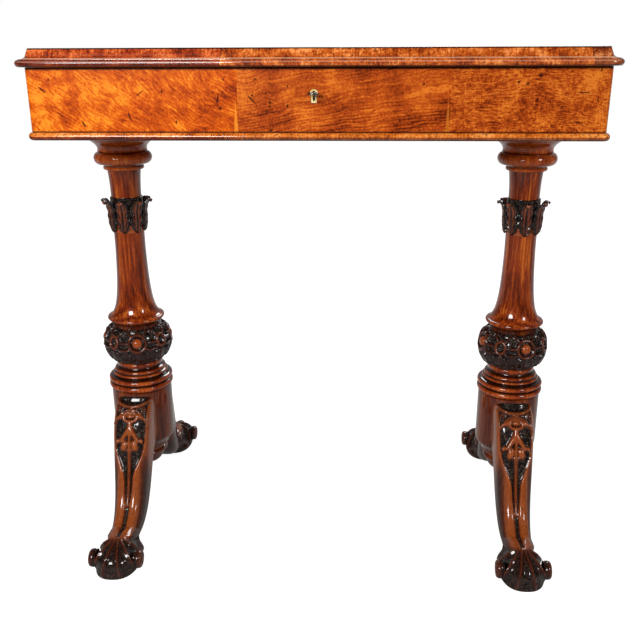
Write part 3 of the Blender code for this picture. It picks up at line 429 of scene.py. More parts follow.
def moulded_slab(name, width, depth, corner, level, falls, rises):
    """A rounded rectangle at its widest level, inset step by step (inward, along) down and then up."""
    bpy.ops.object.select_all(action="DESELECT")
    bpy.ops.mesh.primitive_plane_add(size=1)
    piece = bpy.context.object
    piece.name = piece.data.name = name
    bpy.ops.object.mode_set(mode="EDIT")
    bpy.ops.transform.resize(value=(width, depth, 1))
    bpy.ops.transform.translate(value=(0, 0, level))
    bpy.ops.mesh.bevel(offset=corner, segments=ARC_STEPS, affect="VERTICES")
    bpy.ops.mesh.duplicate()
    bpy.ops.mesh.flip_normals()
    for inward, along in falls:
        bpy.ops.mesh.inset(thickness=inward, depth=along)
    bpy.ops.mesh.select_linked()
    bpy.ops.mesh.hide()
    bpy.ops.mesh.select_all(action="SELECT")
    for inward, along in rises:
        bpy.ops.mesh.inset(thickness=inward, depth=along)
    bpy.ops.mesh.reveal()
    leave_closed()
    return piece


def saw_out(piece, low, high):
    """Takes a square-cornered opening out of a piece, between two opposite corners."""
    bpy.ops.object.select_all(action="DESELECT")
    bpy.ops.mesh.primitive_cube_add(size=1)
    block = bpy.context.object
    bpy.ops.object.mode_set(mode="EDIT")
    bpy.ops.transform.resize(value=[b - a for a, b in zip(low, high)])
    bpy.ops.transform.translate(value=[(a + b) / 2 for a, b in zip(low, high)])
    bpy.ops.object.mode_set(mode="OBJECT")
    bpy.context.view_layer.objects.active = piece
    opening = piece.modifiers.new("opening", "BOOLEAN")
    opening.object = block
    opening.operation = "DIFFERENCE"
    bpy.ops.object.modifier_apply(modifier=opening.name)
    bpy.data.objects.remove(block)


def smooth_edges(piece, angle):
    """Rounds the shading of a piece but for edges sharper than an angle in degrees."""
    bpy.ops.object.select_all(action="DESELECT")
    piece.select_set(True)
    bpy.context.view_layer.objects.active = piece
    bpy.ops.object.shade_smooth_by_angle(angle=math.radians(angle))


def ring(radius, height, out, half, start, end, steps):
    """Part of a torus's section about (radius, height), from one angle to another in degrees."""
    angles = [math.radians(start + (end - start) * i / steps) for i in range(steps + 1)]
    return [(radius + out * math.cos(a), height + half * math.sin(a)) for a in angles]


def arc(out, half, start, end, steps):
    """Steps (inward, along) of part of an oval moulding between two angles; out is negative in a cove."""
    points = ring(0, 0, -out, half, start, end, steps)
    return [(b[0] - a[0], b[1] - a[1]) for a, b in zip(points, points[1:])]


def cross_walnut(name, size, joints, tones, bead_top, bead_tones, lines):
    """Cross-grained walnut: fine streaks across, a new tone after each joint, and lines of painted shade
    and painted highlight.
    """
    material, tree, place = blank_finish(name)
    spot = node(tree, "SeparateXYZ", {0: place}).outputs
    far_x = node(tree, "Math", {0: spot["X"]}, operation="ABSOLUTE")
    far_y = node(tree, "Math", {0: spot["Y"]}, operation="ABSOLUTE")
    mitre = node(tree, "Math", {0: far_y, 1: (BOX_W - BOX_D) / 2})
    on_side = node(tree, "Math", {0: far_x, 1: mitre}, operation="GREATER_THAN")
    run = node(tree, "Mix", {"Factor": on_side, 2: spot["X"], 3: spot["Y"]})
    line = node(tree, "CombineXYZ", {"X": run, "Y": on_side, "Z": spot["Z"]})
    fine = mottle(tree, line, (0.0024, 1, 0.012), 4.0, 0.65)
    broad = mottle(tree, line, (0.026, 1, 0.014), 3.0)
    specks = mottle(tree, place, (0.0028,) * 3, 3.0)
    figure = blend(tree, ((fine, 0.30), (broad, 0.45), (specks, 0.25)))
    low = node(tree, "Math", {0: spot["Z"], 1: bead_top}, operation="LESS_THAN")
    colour = None
    for joint, stops, bead_stops in zip((None,) + joints, tones, bead_tones):
        band = node(tree, "ValToRGB", {"Fac": figure}, stops=stops)
        bead = node(tree, "ValToRGB", {"Fac": figure}, stops=bead_stops)
        length = node(tree, "Mix", {"Factor": low, 6: band, 7: bead}, data_type="RGBA")
        if colour is None:
            colour = length
            continue
        after = node(tree, "Math", {0: spot["X"], 1: joint}, operation="GREATER_THAN")
        colour = node(tree, "Mix", {"Factor": after, 6: colour, 7: length}, data_type="RGBA")
        seam = node(tree, "Math", {0: run, 1: joint, 2: SEAM_HALF}, operation="COMPARE")
        colour = stain(tree, colour, seam, 0.7, "#2A0E05")
    pits = mottle(tree, place, (0.0030,) * 3, 2.0)
    pits = node(tree, "MapRange", {"Value": pits, "From Min": 0.585, "From Max": 0.64})
    colour = stain(tree, colour, pits, 0.62, "#481604")
    # Lines along the lengths: painted shade under a bead, painted highlights on shoulders and fillets, and
    # a dark arris line.
    for level, half, strength, tone, depth in lines:
        edge = node(tree, "Math", {0: spot["Z"], 1: level, 2: half}, operation="COMPARE")
        edge = node(tree, "Math", {0: edge, 1: near_edge(tree, place, size, depth)}, operation="MULTIPLY")
        colour = stain(tree, colour, edge, strength, tone)
    polished(tree, colour, 0.22, fine, 0.0001, 0.9)
    return material


RED_BROWN = ((0.40, "#4E1403"), (0.46, "#922C08"), (0.52, "#B64814"), (0.58, "#E47438"))
GOLDEN_BROWN = ((0.40, "#6A2404"), (0.46, "#A8440E"), (0.52, "#CC641E"), (0.58, "#FA9850"))
DULL_BROWN = ((0.40, "#4E1A08"), (0.46, "#8A3A14"), (0.52, "#B05A28"), (0.58, "#E89056"))
PAINTED_LIGHT_GOLD = ((0.38, "#8A3A0C"), (0.45, "#C4621C"), (0.52, "#E8822E"), (0.60, "#FFAC5C"))
MAROON = ((0.38, "#3A0C06"), (0.45, "#5E1A0A"), (0.52, "#7A2A10"), (0.60, "#A4461E"))
DARK_BROWN = ((0.38, "#4A1C0A"), (0.45, "#7A3412"), (0.52, "#964A1E"), (0.60, "#BC6632"))
# Level, half height, strength, colour and reach inward: painted shade under the bead
BASE_LINES = ((BASE_Z, 0.0016, 0.80, "#180603", 0.0),)

bead_curve = arc(BASE_OUT, BASE_H / 2, 0, 80, 6)
base_bead = moulded_slab("base_bead", BOX_W + 2 * BASE_OUT, BOX_D + 2 * BASE_OUT, BASE_CORNER,
                         BASE_Z + BASE_H / 2, bead_curve, bead_curve)
saw_out(base_bead, (WALL_T - BOX_W / 2, WALL_T - BOX_D / 2, BASE_Z - BASE_H),
        (BOX_W / 2 - WALL_T, BOX_D / 2 - WALL_T, BASE_Z + 2 * BASE_H))
smooth_edges(base_bead, MOULDING_EDGE)
# Painted light and shade: the bead's upper half is painted lighter and its lower half darker.
base_bead.data.materials.append(cross_walnut(
    "cross-grained walnut, base bead", (BOX_W, BOX_D), (FRONT_JOINT,), (PAINTED_LIGHT_GOLD,) * 2,
    BASE_Z + BASE_H / 2, (MAROON, DARK_BROWN), BASE_LINES))
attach(base_bead, "table")
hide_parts("base_front_moulding", "base_back_moulding", "base_left_moulding",
            "base_right_moulding")


# Lid moulding: cross-grained walnut lengths glued round the lid, worked to a half-round bead, a quirk,
# a cove and a leaning band. The lengths differ in tone, and they are notched at the back for the hinges.

LID_W = 0.690
LID_D = 0.440
LID_Z = 0.6864
LID_T = 0.0206
LID_EDGE = 0.036
BEAD_H = 0.0080
STEP_H = 0.0006
STEP_IN = 0.00005
COVE_W = 0.0085
COVE_H = 0.0044
BAND_IN = 0.0036
TOP_ROUND = 0.0010
LID_CORNER = 0.0201
LID_JOINTS = (-0.3063, FRONT_JOINT, 0.3082)
# As on the base: painted shade under the bead, a painted highlight on the bead's shoulder and another on
# the fillet, and a dark line on the top arris
LID_LINES = (
    (LID_Z, 0.0016, 0.75, "#160603", 0.0050), (LID_Z + 0.0058, 0.0006, 0.30, "#F0B8A0", 0.0050),
    (LID_Z + 0.0092, 0.0006, 0.65, "#FFD2AC", 0.0130), (LID_Z + LID_T, 0.0015, 0.90, "#200803", 0.0168),
)
HINGE_X = 0.210
HINGE_L = 0.050
HINGE_Y = 0.2114            # axis of the pins
CLEAR = 0.0003
# The notches for leaf and knuckle: front, back and height over the moulding's foot
HINGE_NOTCHES = ((0.1982, HINGE_Y, 0.0015), (0.2088, HINGE_Y + 0.0029, 0.0027))

bead = BEAD_H / 2
bead_curve = arc(bead, bead, 0, 90, 8)
band_h = LID_T - BEAD_H - STEP_H - COVE_H - TOP_ROUND
lid_rises = bead_curve + [(STEP_IN, STEP_H)] + arc(-COVE_W, COVE_H, -90, 0, 9)
lid_rises += [((BAND_IN - TOP_ROUND) / 2, band_h / 2)] * 2 + arc(TOP_ROUND, TOP_ROUND, 0, 90, 3)
lid_frame = moulded_slab("lid_moulding", LID_W, LID_D, LID_CORNER, LID_Z + bead, bead_curve, lid_rises)
saw_out(lid_frame, (LID_EDGE - LID_W / 2, LID_EDGE - LID_D / 2, LID_Z - LID_T),
        (LID_W / 2 - LID_EDGE, LID_D / 2 - LID_EDGE, LID_Z + 2 * LID_T))
for side in (-1, 1):
    left = side * HINGE_X - HINGE_L / 2 - CLEAR
    right = side * HINGE_X + HINGE_L / 2 + CLEAR
    for front, back, height in HINGE_NOTCHES:
        saw_out(lid_frame, (left, front, LID_Z - LID_T), (right, back, LID_Z + height))
smooth_edges(lid_frame, MOULDING_EDGE)
lid_frame.data.materials.append(cross_walnut(
    "cross-grained walnut, lid moulding", (LID_W, LID_D), LID_JOINTS,
    (RED_BROWN, RED_BROWN, GOLDEN_BROWN, DULL_BROWN), LID_Z + BEAD_H,
    (MAROON, MAROON, GOLDEN_BROWN, DARK_BROWN), LID_LINES))
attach(lid_frame, "lid")
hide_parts("lid_front_moulding", "lid_back_moulding", "lid_left_moulding",
            "lid_right_moulding")


# Hinges, lock and key: brass butts and keyhole thread, and a lock case, link plate, bolt and key of
# filed steel, let into the wood. The brass is dulled by handling and the steel has gone dark.

TARNISH = 0.006             # size of the stains


def metal(name, colour, dark, roughness):
    """Old metal: an even colour with soft dark tarnish, which also dulls its gloss."""
    material, tree, place = blank_finish(name)
    tarnish = mottle(tree, place, (TARNISH,) * 3, 4.0)
    tone = node(tree, "ValToRGB", {"Fac": tarnish}, stops=((0.38, dark), (0.62, colour)))
    gloss = node(tree, "MapRange", {"Value": tarnish, "To Min": roughness + 0.12,
                                    "To Max": roughness - 0.08})
    shader = node(tree, "BsdfPrincipled", {"Base Color": tone, "Metallic": 1.0, "Roughness": gloss})
    node(tree, "OutputMaterial", {"Surface": shader})
    return material


dress(["left_hinge_box_leaf", "left_hinge_lid_leaf", "left_hinge_pin", "right_hinge_box_leaf",
       "right_hinge_lid_leaf", "right_hinge_pin", "escutcheon"],
      metal("old brass", "#FFEFBC", "#DCBE78", 0.46))
dress(["lock_case", "link_plate", "lock_bolt", "key"], metal("dark steel", "#A7A093", "#4A4540", 0.30))


# Capital: the head of each column, walnut turned on a lathe, stained red-brown, polished and spigoted to
# the section below. A flared top carries the box, over a quirked neck, a bold torus and a small fillet.
# The grain stands upright and arches where a turning cuts through the rings.

COLUMN_X = 0.289
TURNING_STEPS = 96
TURNING_EDGE = 32           # degrees: sharper edges of the turnings stay crisp
QUIRK_DARK = 0.94           # how dark the painted shade in the deepest quirks is
PITH = (0.012, 0.030)       # how far the pith lies outward and back from a column's axis
RING_GAP = 0.0052           # half the spacing of the growth rings


def drawn(name, points):
    """A line drawn from a single vertex, point after point, left in edit mode and selected."""
    bpy.ops.object.select_all(action="DESELECT")
    bpy.ops.mesh.primitive_plane_add(size=0.01)
    piece = bpy.context.object
    piece.name = piece.data.name = name
    bpy.ops.object.mode_set(mode="EDIT")
    bpy.ops.mesh.merge(type="CENTER")
    bpy.ops.transform.translate(value=points[0])
    for a, b in zip(points, points[1:]):
        move = [q - p for p, q in zip(a, b)]
        bpy.ops.mesh.extrude_vertices_move(TRANSFORM_OT_translate={"value": move})
    bpy.ops.mesh.select_all(action="SELECT")
    return piece


def lathed(name, outline, steps=TURNING_STEPS, edge=TURNING_EDGE):
    """A closed turning: an outline of (radius, height) spun once round the Z axis."""
    line = [(0, outline[0][1])] + list(outline) + [(0, outline[-1][1])]
    piece = drawn(name, [(r, 0, z) for r, z in line])
    bpy.ops.mesh.spin(steps=steps, angle=2 * math.pi, center=(0, 0, 0), axis=(0, 0, 1))
    leave_closed()
    smooth_edges(piece, edge)
    return piece


def curve(a, a_handle, b_handle, b, count):
    """Points of a bezier curve in the (radius, height) plane."""
    points = interpolate_bezier(*(Vector((*p, 0)) for p in (a, a_handle, b_handle, b)), count)
    return [(p.x, p.y) for p in points]


def keep(piece, name, values):
    """Keeps a value at each point of a piece, for its material to read."""
    held = piece.data.attributes.new(name, "FLOAT", "POINT")
    held.data.foreach_set("value", np.asarray(values, dtype=np.float32))


def shade_quirks(piece, reach, depth):
    """Paints shade on a turning: darkens it where it is cut deeper than what stands within a reach above
    and below.
    """
    spots = np.array([v.co for v in piece.data.vertices])
    radius = np.hypot(spots[:, 0], spots[:, 1])
    levels, order = np.unique(np.round(spots[:, 2], 6), return_inverse=True)
    widest = np.array([radius[order == i].max() for i in range(len(levels))])
    around = np.array([widest[np.abs(levels - z) < reach].max() for z in levels])
    keep(piece, "painted_shade", np.clip((around - widest) / depth, 0, QUIRK_DARK)[order])


def copied(piece, name):
    """A copy of a piece, with a mesh of its own."""
    twin = bpy.data.objects.new(name, piece.data.copy())
    twin.data.name = name
    scene.collection.objects.link(twin)
    return twin


def on_columns(piece, part):
    """Puts a piece made on the Z axis, and a copy of it, on the two columns in place of their parts."""
    twin = copied(piece, "right_" + piece.name)
    piece.name = piece.data.name = "left_" + piece.name
    for side, copy, word in ((-1, piece, "left"), (1, twin, "right")):
        copy.data.transform(Matrix.Translation((side * COLUMN_X, 0, 0)))
        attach(copy, "table")
        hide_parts(f"{word}_{part}")


def turned(name, foot, outline, finish, part, quirks=None):
    """A section turned to an outline above its foot, finished and put on both columns for a part."""
    piece = lathed(name, [(r, foot + z) for r, z in outline])
    if quirks:
        shade_quirks(piece, *quirks)
    piece.data.materials.append(finish)
    on_columns(piece, part)


def turned_walnut(name, stops):
    """Turned walnut: upright streaks, growth rings about an off-centre pith, and fine upright pores."""
    material, tree, place = blank_finish(name)
    spot = node(tree, "SeparateXYZ", {0: place}).outputs
    out = node(tree, "Math", {0: spot["X"]}, operation="ABSOLUTE")
    pith = node(tree, "CombineXYZ", {"X": out, "Y": spot["Y"]})
    pith = node(tree, "VectorMath", {0: pith, 1: (COLUMN_X + PITH[0], PITH[1], 0.0)}, operation="DISTANCE")
    drift = mottle(tree, place, (0.020, 0.020, 0.160), 2.0)
    rings = node(tree, "Math", {0: drift, 1: 0.012, 2: pith}, operation="MULTIPLY_ADD")
    rings = node(tree, "Math", {0: rings, 1: 1 / RING_GAP}, operation="MULTIPLY")
    rings = node(tree, "Math", {0: rings, 1: 1.0}, operation="PINGPONG")
    streaks = mottle(tree, place, (0.0030, 0.0030, 0.090), 4.0, 0.6)
    streaks = node(tree, "MapRange", {"Value": streaks, "To Min": 0.12, "To Max": 0.88})
    pores = mottle(tree, place, (0.0007, 0.0007, 0.008), 2.0)
    figure = blend(tree, ((streaks, 1.0), (rings, 0.18), (pores, 0.30)))
    colour = node(tree, "ValToRGB", {"Fac": figure}, stops=stops)
    # Painted shade kept on the piece darkens its quirks and hollows.
    painted_shade = node(tree, "Attribute", attribute_name="painted_shade").outputs["Fac"]
    colour = stain(tree, colour, painted_shade, 1.0, "#0E0402")
    polished(tree, colour, 0.20, pores, 0.00005, 1.0)
    return material


CAPITAL_Z = 0.5419
capital_walnut = turned_walnut("turned walnut, capital", (
    (0.54, "#7E2E0A"), (0.68, "#B04814"), (0.80, "#C6581C"), (0.96, "#E2782E")))
outline = [(0.0262, 0), (0.0282, 0.0006), (0.0290, 0.0018), (0.0290, 0.0038), (0.0282, 0.0050)]
outline += [(0.0272, 0.0056), (0.0276, 0.0070)] + ring(0.0333, 0.0169, 0.0080, 0.0088, -68, 82, 18)
outline += [(0.0336, 0.0262), (0.0350, 0.0266), (0.0353, 0.0272), (0.0350, 0.0280)]
outline += curve((0.0347, 0.0285), (0.0347, 0.0370), (0.0430, 0.0390), (0.0468, 0.0446), 14)
outline += [(0.0472, 0.0452), (0.0472, 0.0462), (0.0466, 0.0466), (0.0466, 0.0478)]
outline += [(0.0470, 0.0484), (0.0470, 0.0621)]
# Its quirks are painted dark as shade.
turned("capital_turning", CAPITAL_Z, outline, capital_walnut, "capital", quirks=(0.0026, 0.0075))


# Upper shaft: a short walnut neck between the leaf collar and the capital, turned and spigoted into
# both. It swells slightly upward and is darker than the capital.

NECK_Z = 0.5026
column_walnut = turned_walnut("turned walnut, column", (
    (0.56, "#3E1203"), (0.69, "#7A2A08"), (0.79, "#983C10"), (0.92, "#C8661E")))
outline = [(0.0218, 0)] + curve((0.0217, 0.0004), (0.0217, 0.0120), (0.0222, 0.0260), (0.0240, 0.0390), 12)
turned("neck_turning", NECK_Z, outline, column_walnut, "upper_shaft")


# Lower shaft: a slender turned shaft of the same walnut, which sweeps out to a rounded rim at its foot
# and is spigoted into the carved ball. The hollow under the rim is painted dark as shade.

SHAFT_Z = 0.3048
RIM_FOOT = 0.0094
outline = [(0.0345, 0), (0.0346, 0.0010)]
outline += curve((0.0347, 0.0020), (0.0350, 0.0060), (0.0366, 0.0080), (0.0396, 0.0096), 8)
outline += [(0.0392, 0.0101)] + ring(0.0396, 0.0132, 0.0030, 0.0030, -80, 84, 10)
outline += [(0.0390, 0.0163), (0.0391, 0.0166)]
outline += curve((0.0390, 0.0170), (0.0268, 0.0230), (0.0236, 0.0580), (0.0222, 0.1215), 32)
outline += [(0.0222, 0.1452)]
shaft = lathed("shaft_turning", [(r, SHAFT_Z + z) for r, z in outline])
# Painted shadow under the rim: the hollow below it is darkened.
keep(shaft, "painted_shade", [0.65 if v.co.z < SHAFT_Z + RIM_FOOT else 0.0 for v in shaft.data.vertices])
shaft.data.materials.append(column_walnut)
on_columns(shaft, "lower_shaft")


# Ring collar: turned walnut between the drum and the ball. Two bold toruses have a quirk between them, a
# smaller one is stepped in above, and a cyma rises to a neck ring. The quirks are painted dark as shade.

COLLAR_Z = 0.2048
collar_walnut = turned_walnut("turned walnut, collar", (
    (0.54, "#5E1E0A"), (0.68, "#94370F"), (0.80, "#B04A18"), (0.96, "#D86E2A")))
outline = [(0.0450, 0), (0.0452, 0.0004)] + ring(0.0437, 0.0052, 0.0053, 0.0050, -72, 76, 12)
outline += [(0.0452, 0.0104), (0.0446, 0.0107), (0.0446, 0.0112)]
outline += ring(0.0438, 0.0155, 0.0050, 0.0043, -72, 72, 12)
outline += [(0.0446, 0.0199), (0.0414, 0.0202), (0.0408, 0.0207)]
outline += ring(0.0387, 0.0235, 0.0034, 0.0029, -66, 66, 10)
outline += [(0.0393, 0.0266), (0.0384, 0.0269), (0.0384, 0.0276)]
outline += curve((0.0392, 0.0279), (0.0398, 0.0330), (0.0326, 0.0320), (0.0332, 0.0374), 12)
outline += ring(0.0326, 0.0406, 0.0022, 0.0026, -70, 70, 8) + [(0.0332, 0.0439)]
turned("collar_turning", COLLAR_Z, outline, collar_walnut, "ring_collar", quirks=(0.0036, 0.0030))


# Drum: a plain dark block of turned walnut into which both legs are tenoned. It is drawn in at its foot
# and spigoted to the ring collar above.

DRUM_Z = 0.1040
dark_walnut = turned_walnut("turned walnut, dark", (
    (0.54, "#34110A"), (0.68, "#5C200A"), (0.80, "#74300F"), (0.96, "#9C4C1C")))
outline = curve((0.0360, 0), (0.0360, 0.0100), (0.0460, 0.0100), (0.0460, 0.0200), 10)
outline += [(0.0460, 0.0985), (0.0456, 0.0999), (0.0448, 0.1005)]
turned("drum_turning", DRUM_Z, outline, dark_walnut, "drum")


# Drop: a pendant of the same dark walnut, turned to a ring over a small bulb and glued under the drum,
# where it hides the end of the column.

DROP_Z = 0.0677
outline = [(0.0060, 0)] + curve((0.0080, 0.0004), (0.0228, 0.0004), (0.0250, 0.0100), (0.0282, 0.0196), 14)
outline += [(0.0278, 0.0202)] + ring(0.0286, 0.0240, 0.0040, 0.0038, -76, 76, 10) + [(0.0290, 0.0282)]
outline += curve((0.0300, 0.0286), (0.0300, 0.0320), (0.0312, 0.0340), (0.0310, 0.0360), 6)
turned("drop_turning", DROP_Z, outline, dark_walnut, "drop_finial")


# Carved ball: walnut turned to a flattened ball, then carved with ringed bosses, large and small turn
# about, straps between them and leaf lobes below. The ground is punched and nearly black, edges rubbed.

MM = 1000                          # carving is laid out in millimetres
BALL_Z = 0.2490
BALL_H = 0.0555
BALL_R = 0.0503
BALL_NECK_R = 0.0335
BALL_MIDDLE = 0.0266
BALL_BELLY = 0.35                  # how far it runs level from its neck, as a share of its swell
BALL_FULLNESS = 0.55               # how far it stays wide, as a share of the way to top and foot
BALL_RIM = 0.0020                  # carving dies away over this at top and foot
BOSS_RISE = 0.0118                 # bosses above the widest level
BOSS_PAIRS = 4
BOSS_TURN = math.radians(-76)      # a large boss a little to the right of the front
BALL_STEPS = 280
BALL_ROWS = 120
CARVED_EDGE = 60                   # degrees: sharper edges of carving stay crisp
PUNCH = 0.0021                     # spacing of the punch marks


def carved_walnut(name, low, middle, high):
    """Carved walnut: near-black in the hollows, red-brown where rubbed, punched ground with painted glints,
    and old gloss.
    """
    material, tree, place = blank_finish(name)
    relief = node(tree, "Attribute", attribute_name="relief").outputs["Fac"]
    bands = mottle(tree, place, (0.0025, 0.0025, 0.030), 4.0)
    tone = blend(tree, ((relief, 1.0), (bands, 0.45)))
    colour = node(tree, "ValToRGB", {"Fac": tone}, stops=((0.28, low), (0.60, middle), (1.0, high)))
    deep = node(tree, "MapRange", {"Value": relief, "From Min": 0.12, "From Max": 0.04})
    punch = node(tree, "TexVoronoi", {"Vector": place, "Scale": 1 / PUNCH})
    rough = node(tree, "Math", {0: punch, 1: deep}, operation="MULTIPLY")
    # Painted glints: pale flecks scattered over the punched ground.
    painted_glints = node(tree, "SeparateColor", {0: punch.outputs["Color"]})
    painted_glints = node(tree, "MapRange", {"Value": painted_glints, "From Min": 0.60, "From Max": 1.0})
    painted_glints = node(tree, "Math", {0: painted_glints, 1: deep}, operation="MULTIPLY")
    colour = stain(tree, colour, painted_glints, 0.38, "#7A6455")
    gloss = node(tree, "MapRange", {"Value": relief, "To Min": 0.55, "To Max": 0.20})
    polished(tree, colour, gloss, rough, 0.0006, 1.0)
    return material


dark_carving = carved_walnut("carved walnut", "#080302", "#30120A", "#A24A1C")


def smoothstep(value, low, high):
    """A soft step from 0 below one value to 1 above another."""
    t = np.clip((value - low) / (high - low), 0, 1)
    return t * t * (3 - 2 * t)


def dome(far, width):
    """Height of a rounded ridge at a distance from its middle, 1 at the top and 0 at its edge."""
    return np.sqrt(np.clip(1 - (far / width) ** 2, 0, 1))


def lengths(points):
    """How far along a line of points each of them lies."""
    return np.concatenate(([0], np.cumsum(np.linalg.norm(np.diff(points, axis=0), axis=1))))


def line_distance(u, v, points):
    """Distance from each point to a line of straight pieces, and how far along it lies, 0 to 1."""
    best = np.full(u.shape, np.inf)
    along = np.zeros(u.shape)
    count = len(points) - 1
    for i, ((ax, ay), (bx, by)) in enumerate(zip(points, points[1:])):
        dx, dy = bx - ax, by - ay
        t = np.clip(((u - ax) * dx + (v - ay) * dy) / (dx * dx + dy * dy), 0, 1)
        far = np.hypot(u - ax - t * dx, v - ay - t * dy)
        nearer = far < best
        best = np.where(nearer, far, best)
        along = np.where(nearer, (i + t) / count, along)
    return best, along


belly = BALL_BELLY * (BALL_R - BALL_NECK_R)
low_wide = (BALL_R, BALL_MIDDLE * (1 - BALL_FULLNESS))
high_wide = (BALL_R, BALL_MIDDLE + BALL_FULLNESS * (BALL_H - BALL_MIDDLE))
outline = curve((BALL_NECK_R, 0), (BALL_NECK_R + belly, 0), low_wide, (BALL_R, BALL_MIDDLE), BALL_ROWS // 2)
outline += curve((BALL_R, BALL_MIDDLE), high_wide, (BALL_NECK_R + 2 * belly, BALL_H), (BALL_NECK_R, BALL_H),
                 BALL_ROWS // 2)[1:]
ball = lathed("ball_carving", [(r, BALL_Z + z) for r, z in outline], BALL_STEPS, CARVED_EDGE)
spots = np.array([v.co for v in ball.data.vertices])
normals = np.array([v.normal for v in ball.data.vertices])
profile = np.array(outline)
climb = lengths(profile)
boss_climb = np.interp(BALL_MIDDLE + BOSS_RISE, profile[:, 1], climb)
period = 2 * math.pi / BOSS_PAIRS
turn = np.mod(np.arctan2(spots[:, 1], spots[:, 0]) - BOSS_TURN + period / 2, period) - period / 2
u = np.abs(turn) * BALL_R * MM
v = (np.interp(spots[:, 2] - BALL_Z, profile[:, 1], climb) - boss_climb) * MM
half = period / 2 * BALL_R * MM
GROUND = -3.0                      # sunk ground, in mm like the sizes below
GROUND_TONE = 0.02
large = np.hypot(u, v)
small = np.hypot((u - half) / 0.9, v / 1.1)
lift = np.full(u.shape, GROUND)
tone = np.full(u.shape, GROUND_TONE)


def raise_to(lift, tone, far, width, height, shade):
    """The carving and its tone with a rounded form added, by its distance field, half width and height."""
    ridge = dome(far, width)
    form = np.where(far < width, GROUND + (height - GROUND) * ridge, GROUND)
    over = form > lift
    return np.where(over, form, lift), np.where(over, shade * (0.35 + 0.65 * ridge), tone)


# Leaf lobes below the bosses, by middle, half width, half height and level, each with a rim and a vein
for middle, wide, tall, low in ((0, 15, 15, -27), (half, 13, 14, -26), (half / 2, 6.5, 13, -22)):
    oval = np.hypot((u - middle) / wide, (v - low) / tall)
    lift, tone = raise_to(lift, tone, oval, 1.0, 0.6, 0.26)
    lift, tone = raise_to(lift, tone, np.abs(oval - 0.88), 0.13, 1.2, 0.34)
    vein = (np.abs(u - middle) < 1.0) & (oval < 0.8)
    lift = np.where(vein, lift - 1.2, lift)
# Straps: points, half width and height
STRAPS = (
    (((14, 0), (half - 9, 0)), 2.9, 1.8),
    (((9, 10), (15, 16), (18, 24)), 2.6, 1.6),
    (((half - 6, 9), (half - 12, 15), (half - 14, 24)), 2.6, 1.6),
    (((0, 15), (0, 24)), 2.6, 1.4),
    (((12, -9), (half / 2, -12), (half - 8, -9)), 2.4, 1.7),
    (((0, -15), (0, -34)), 2.2, 1.6),
    (((half, -11), (half, -34)), 2.0, 1.4),
)
for points, width, height in STRAPS:
    lift, tone = raise_to(lift, tone, line_distance(u, v, points)[0], width, height, 0.42)
# Bosses: room cleared in the ground, then a ring by its radius, half width, height and tone
for boss, room, radius, width, height, shade in ((large, 16, 13.0, 3.2, 2.6, 0.46),
                                                 (small, 11, 8.2, 2.9, 2.4, 0.52)):
    lift = np.where(boss < room, GROUND, lift)
    tone = np.where(boss < room, GROUND_TONE, tone)
    lift, tone = raise_to(lift, tone, np.abs(boss - radius), width, height, shade)
lift, tone = raise_to(lift, tone, large, 8.4, 3.2, 0.95)
lift = np.where(small < 5.2, GROUND - 1.0, lift)
rim = np.minimum(spots[:, 2] - BALL_Z, BALL_Z + BALL_H - spots[:, 2])
core = np.hypot(spots[:, 0], spots[:, 1]) > BALL_NECK_R - 0.0010
lift = np.where(core, lift / MM * np.clip(rim / BALL_RIM, 0, 1), 0.0)
ball.data.vertices.foreach_set("co", (spots + normals * lift[:, None]).ravel())
keep(ball, "relief", tone)
ball.data.materials.append(dark_carving)
on_columns(ball, "carved_ball")


# Leaf collar: a ring of upright leaves carved from walnut round the shaft, each with a rounded foot, a
# vein and a pointed tip that curls outward, over a dark ground.

LEAF_Z = 0.4503
LEAF_H = 0.0520
LEAF_GROUND_R = 0.0226
LEAF_TIP_R = 0.0362
LEAF_THICK = 0.0016
LEAVES = 8
LEAF_OVERLAP = 1.02
LEAF_ACROSS = 21
LEAF_ALONG = 47
LEAF_EDGE = 50                     # degrees: sharper edges of the leaves stay crisp
LEAF_FOOT_H = 0.0100               # below this the shaft shows between the rounded feet of the leaves
LEAF_BOWL = 0.0016                 # how far the middle of a leaf stands out
VEIN_DEPTH = 0.0012
SIDE_VEIN = 0.0007
# From foot to tip: a leaf's width as a share of its room, its distance from the axis and its height
LEAF_WIDTHS = ((0, 0.05, 0.12, 0.25, 0.45, 0.65, 0.8, 0.92, 1.0),
               (0.10, 0.50, 0.78, 0.98, 1.0, 0.94, 0.80, 0.52, 0.12))
LEAF_REACHES = ((0, 0.05, 0.3, 0.6, 0.75, 0.86, 0.95, 1.0),
                (0.0232, 0.0252, 0.0270, 0.0272, 0.0292, 0.0338, 0.0360, 0.0354))
LEAF_LEVELS = ((0, 0.6, 0.75, 0.86, 0.95, 1.0), (0.02, 0.62, 0.78, 0.885, 0.895, 0.855))


def join(piece, part):
    """Joins a part to a piece, as one mesh."""
    bpy.ops.object.select_all(action="DESELECT")
    part.select_set(True)
    piece.select_set(True)
    bpy.context.view_layer.objects.active = piece
    bpy.ops.object.join()


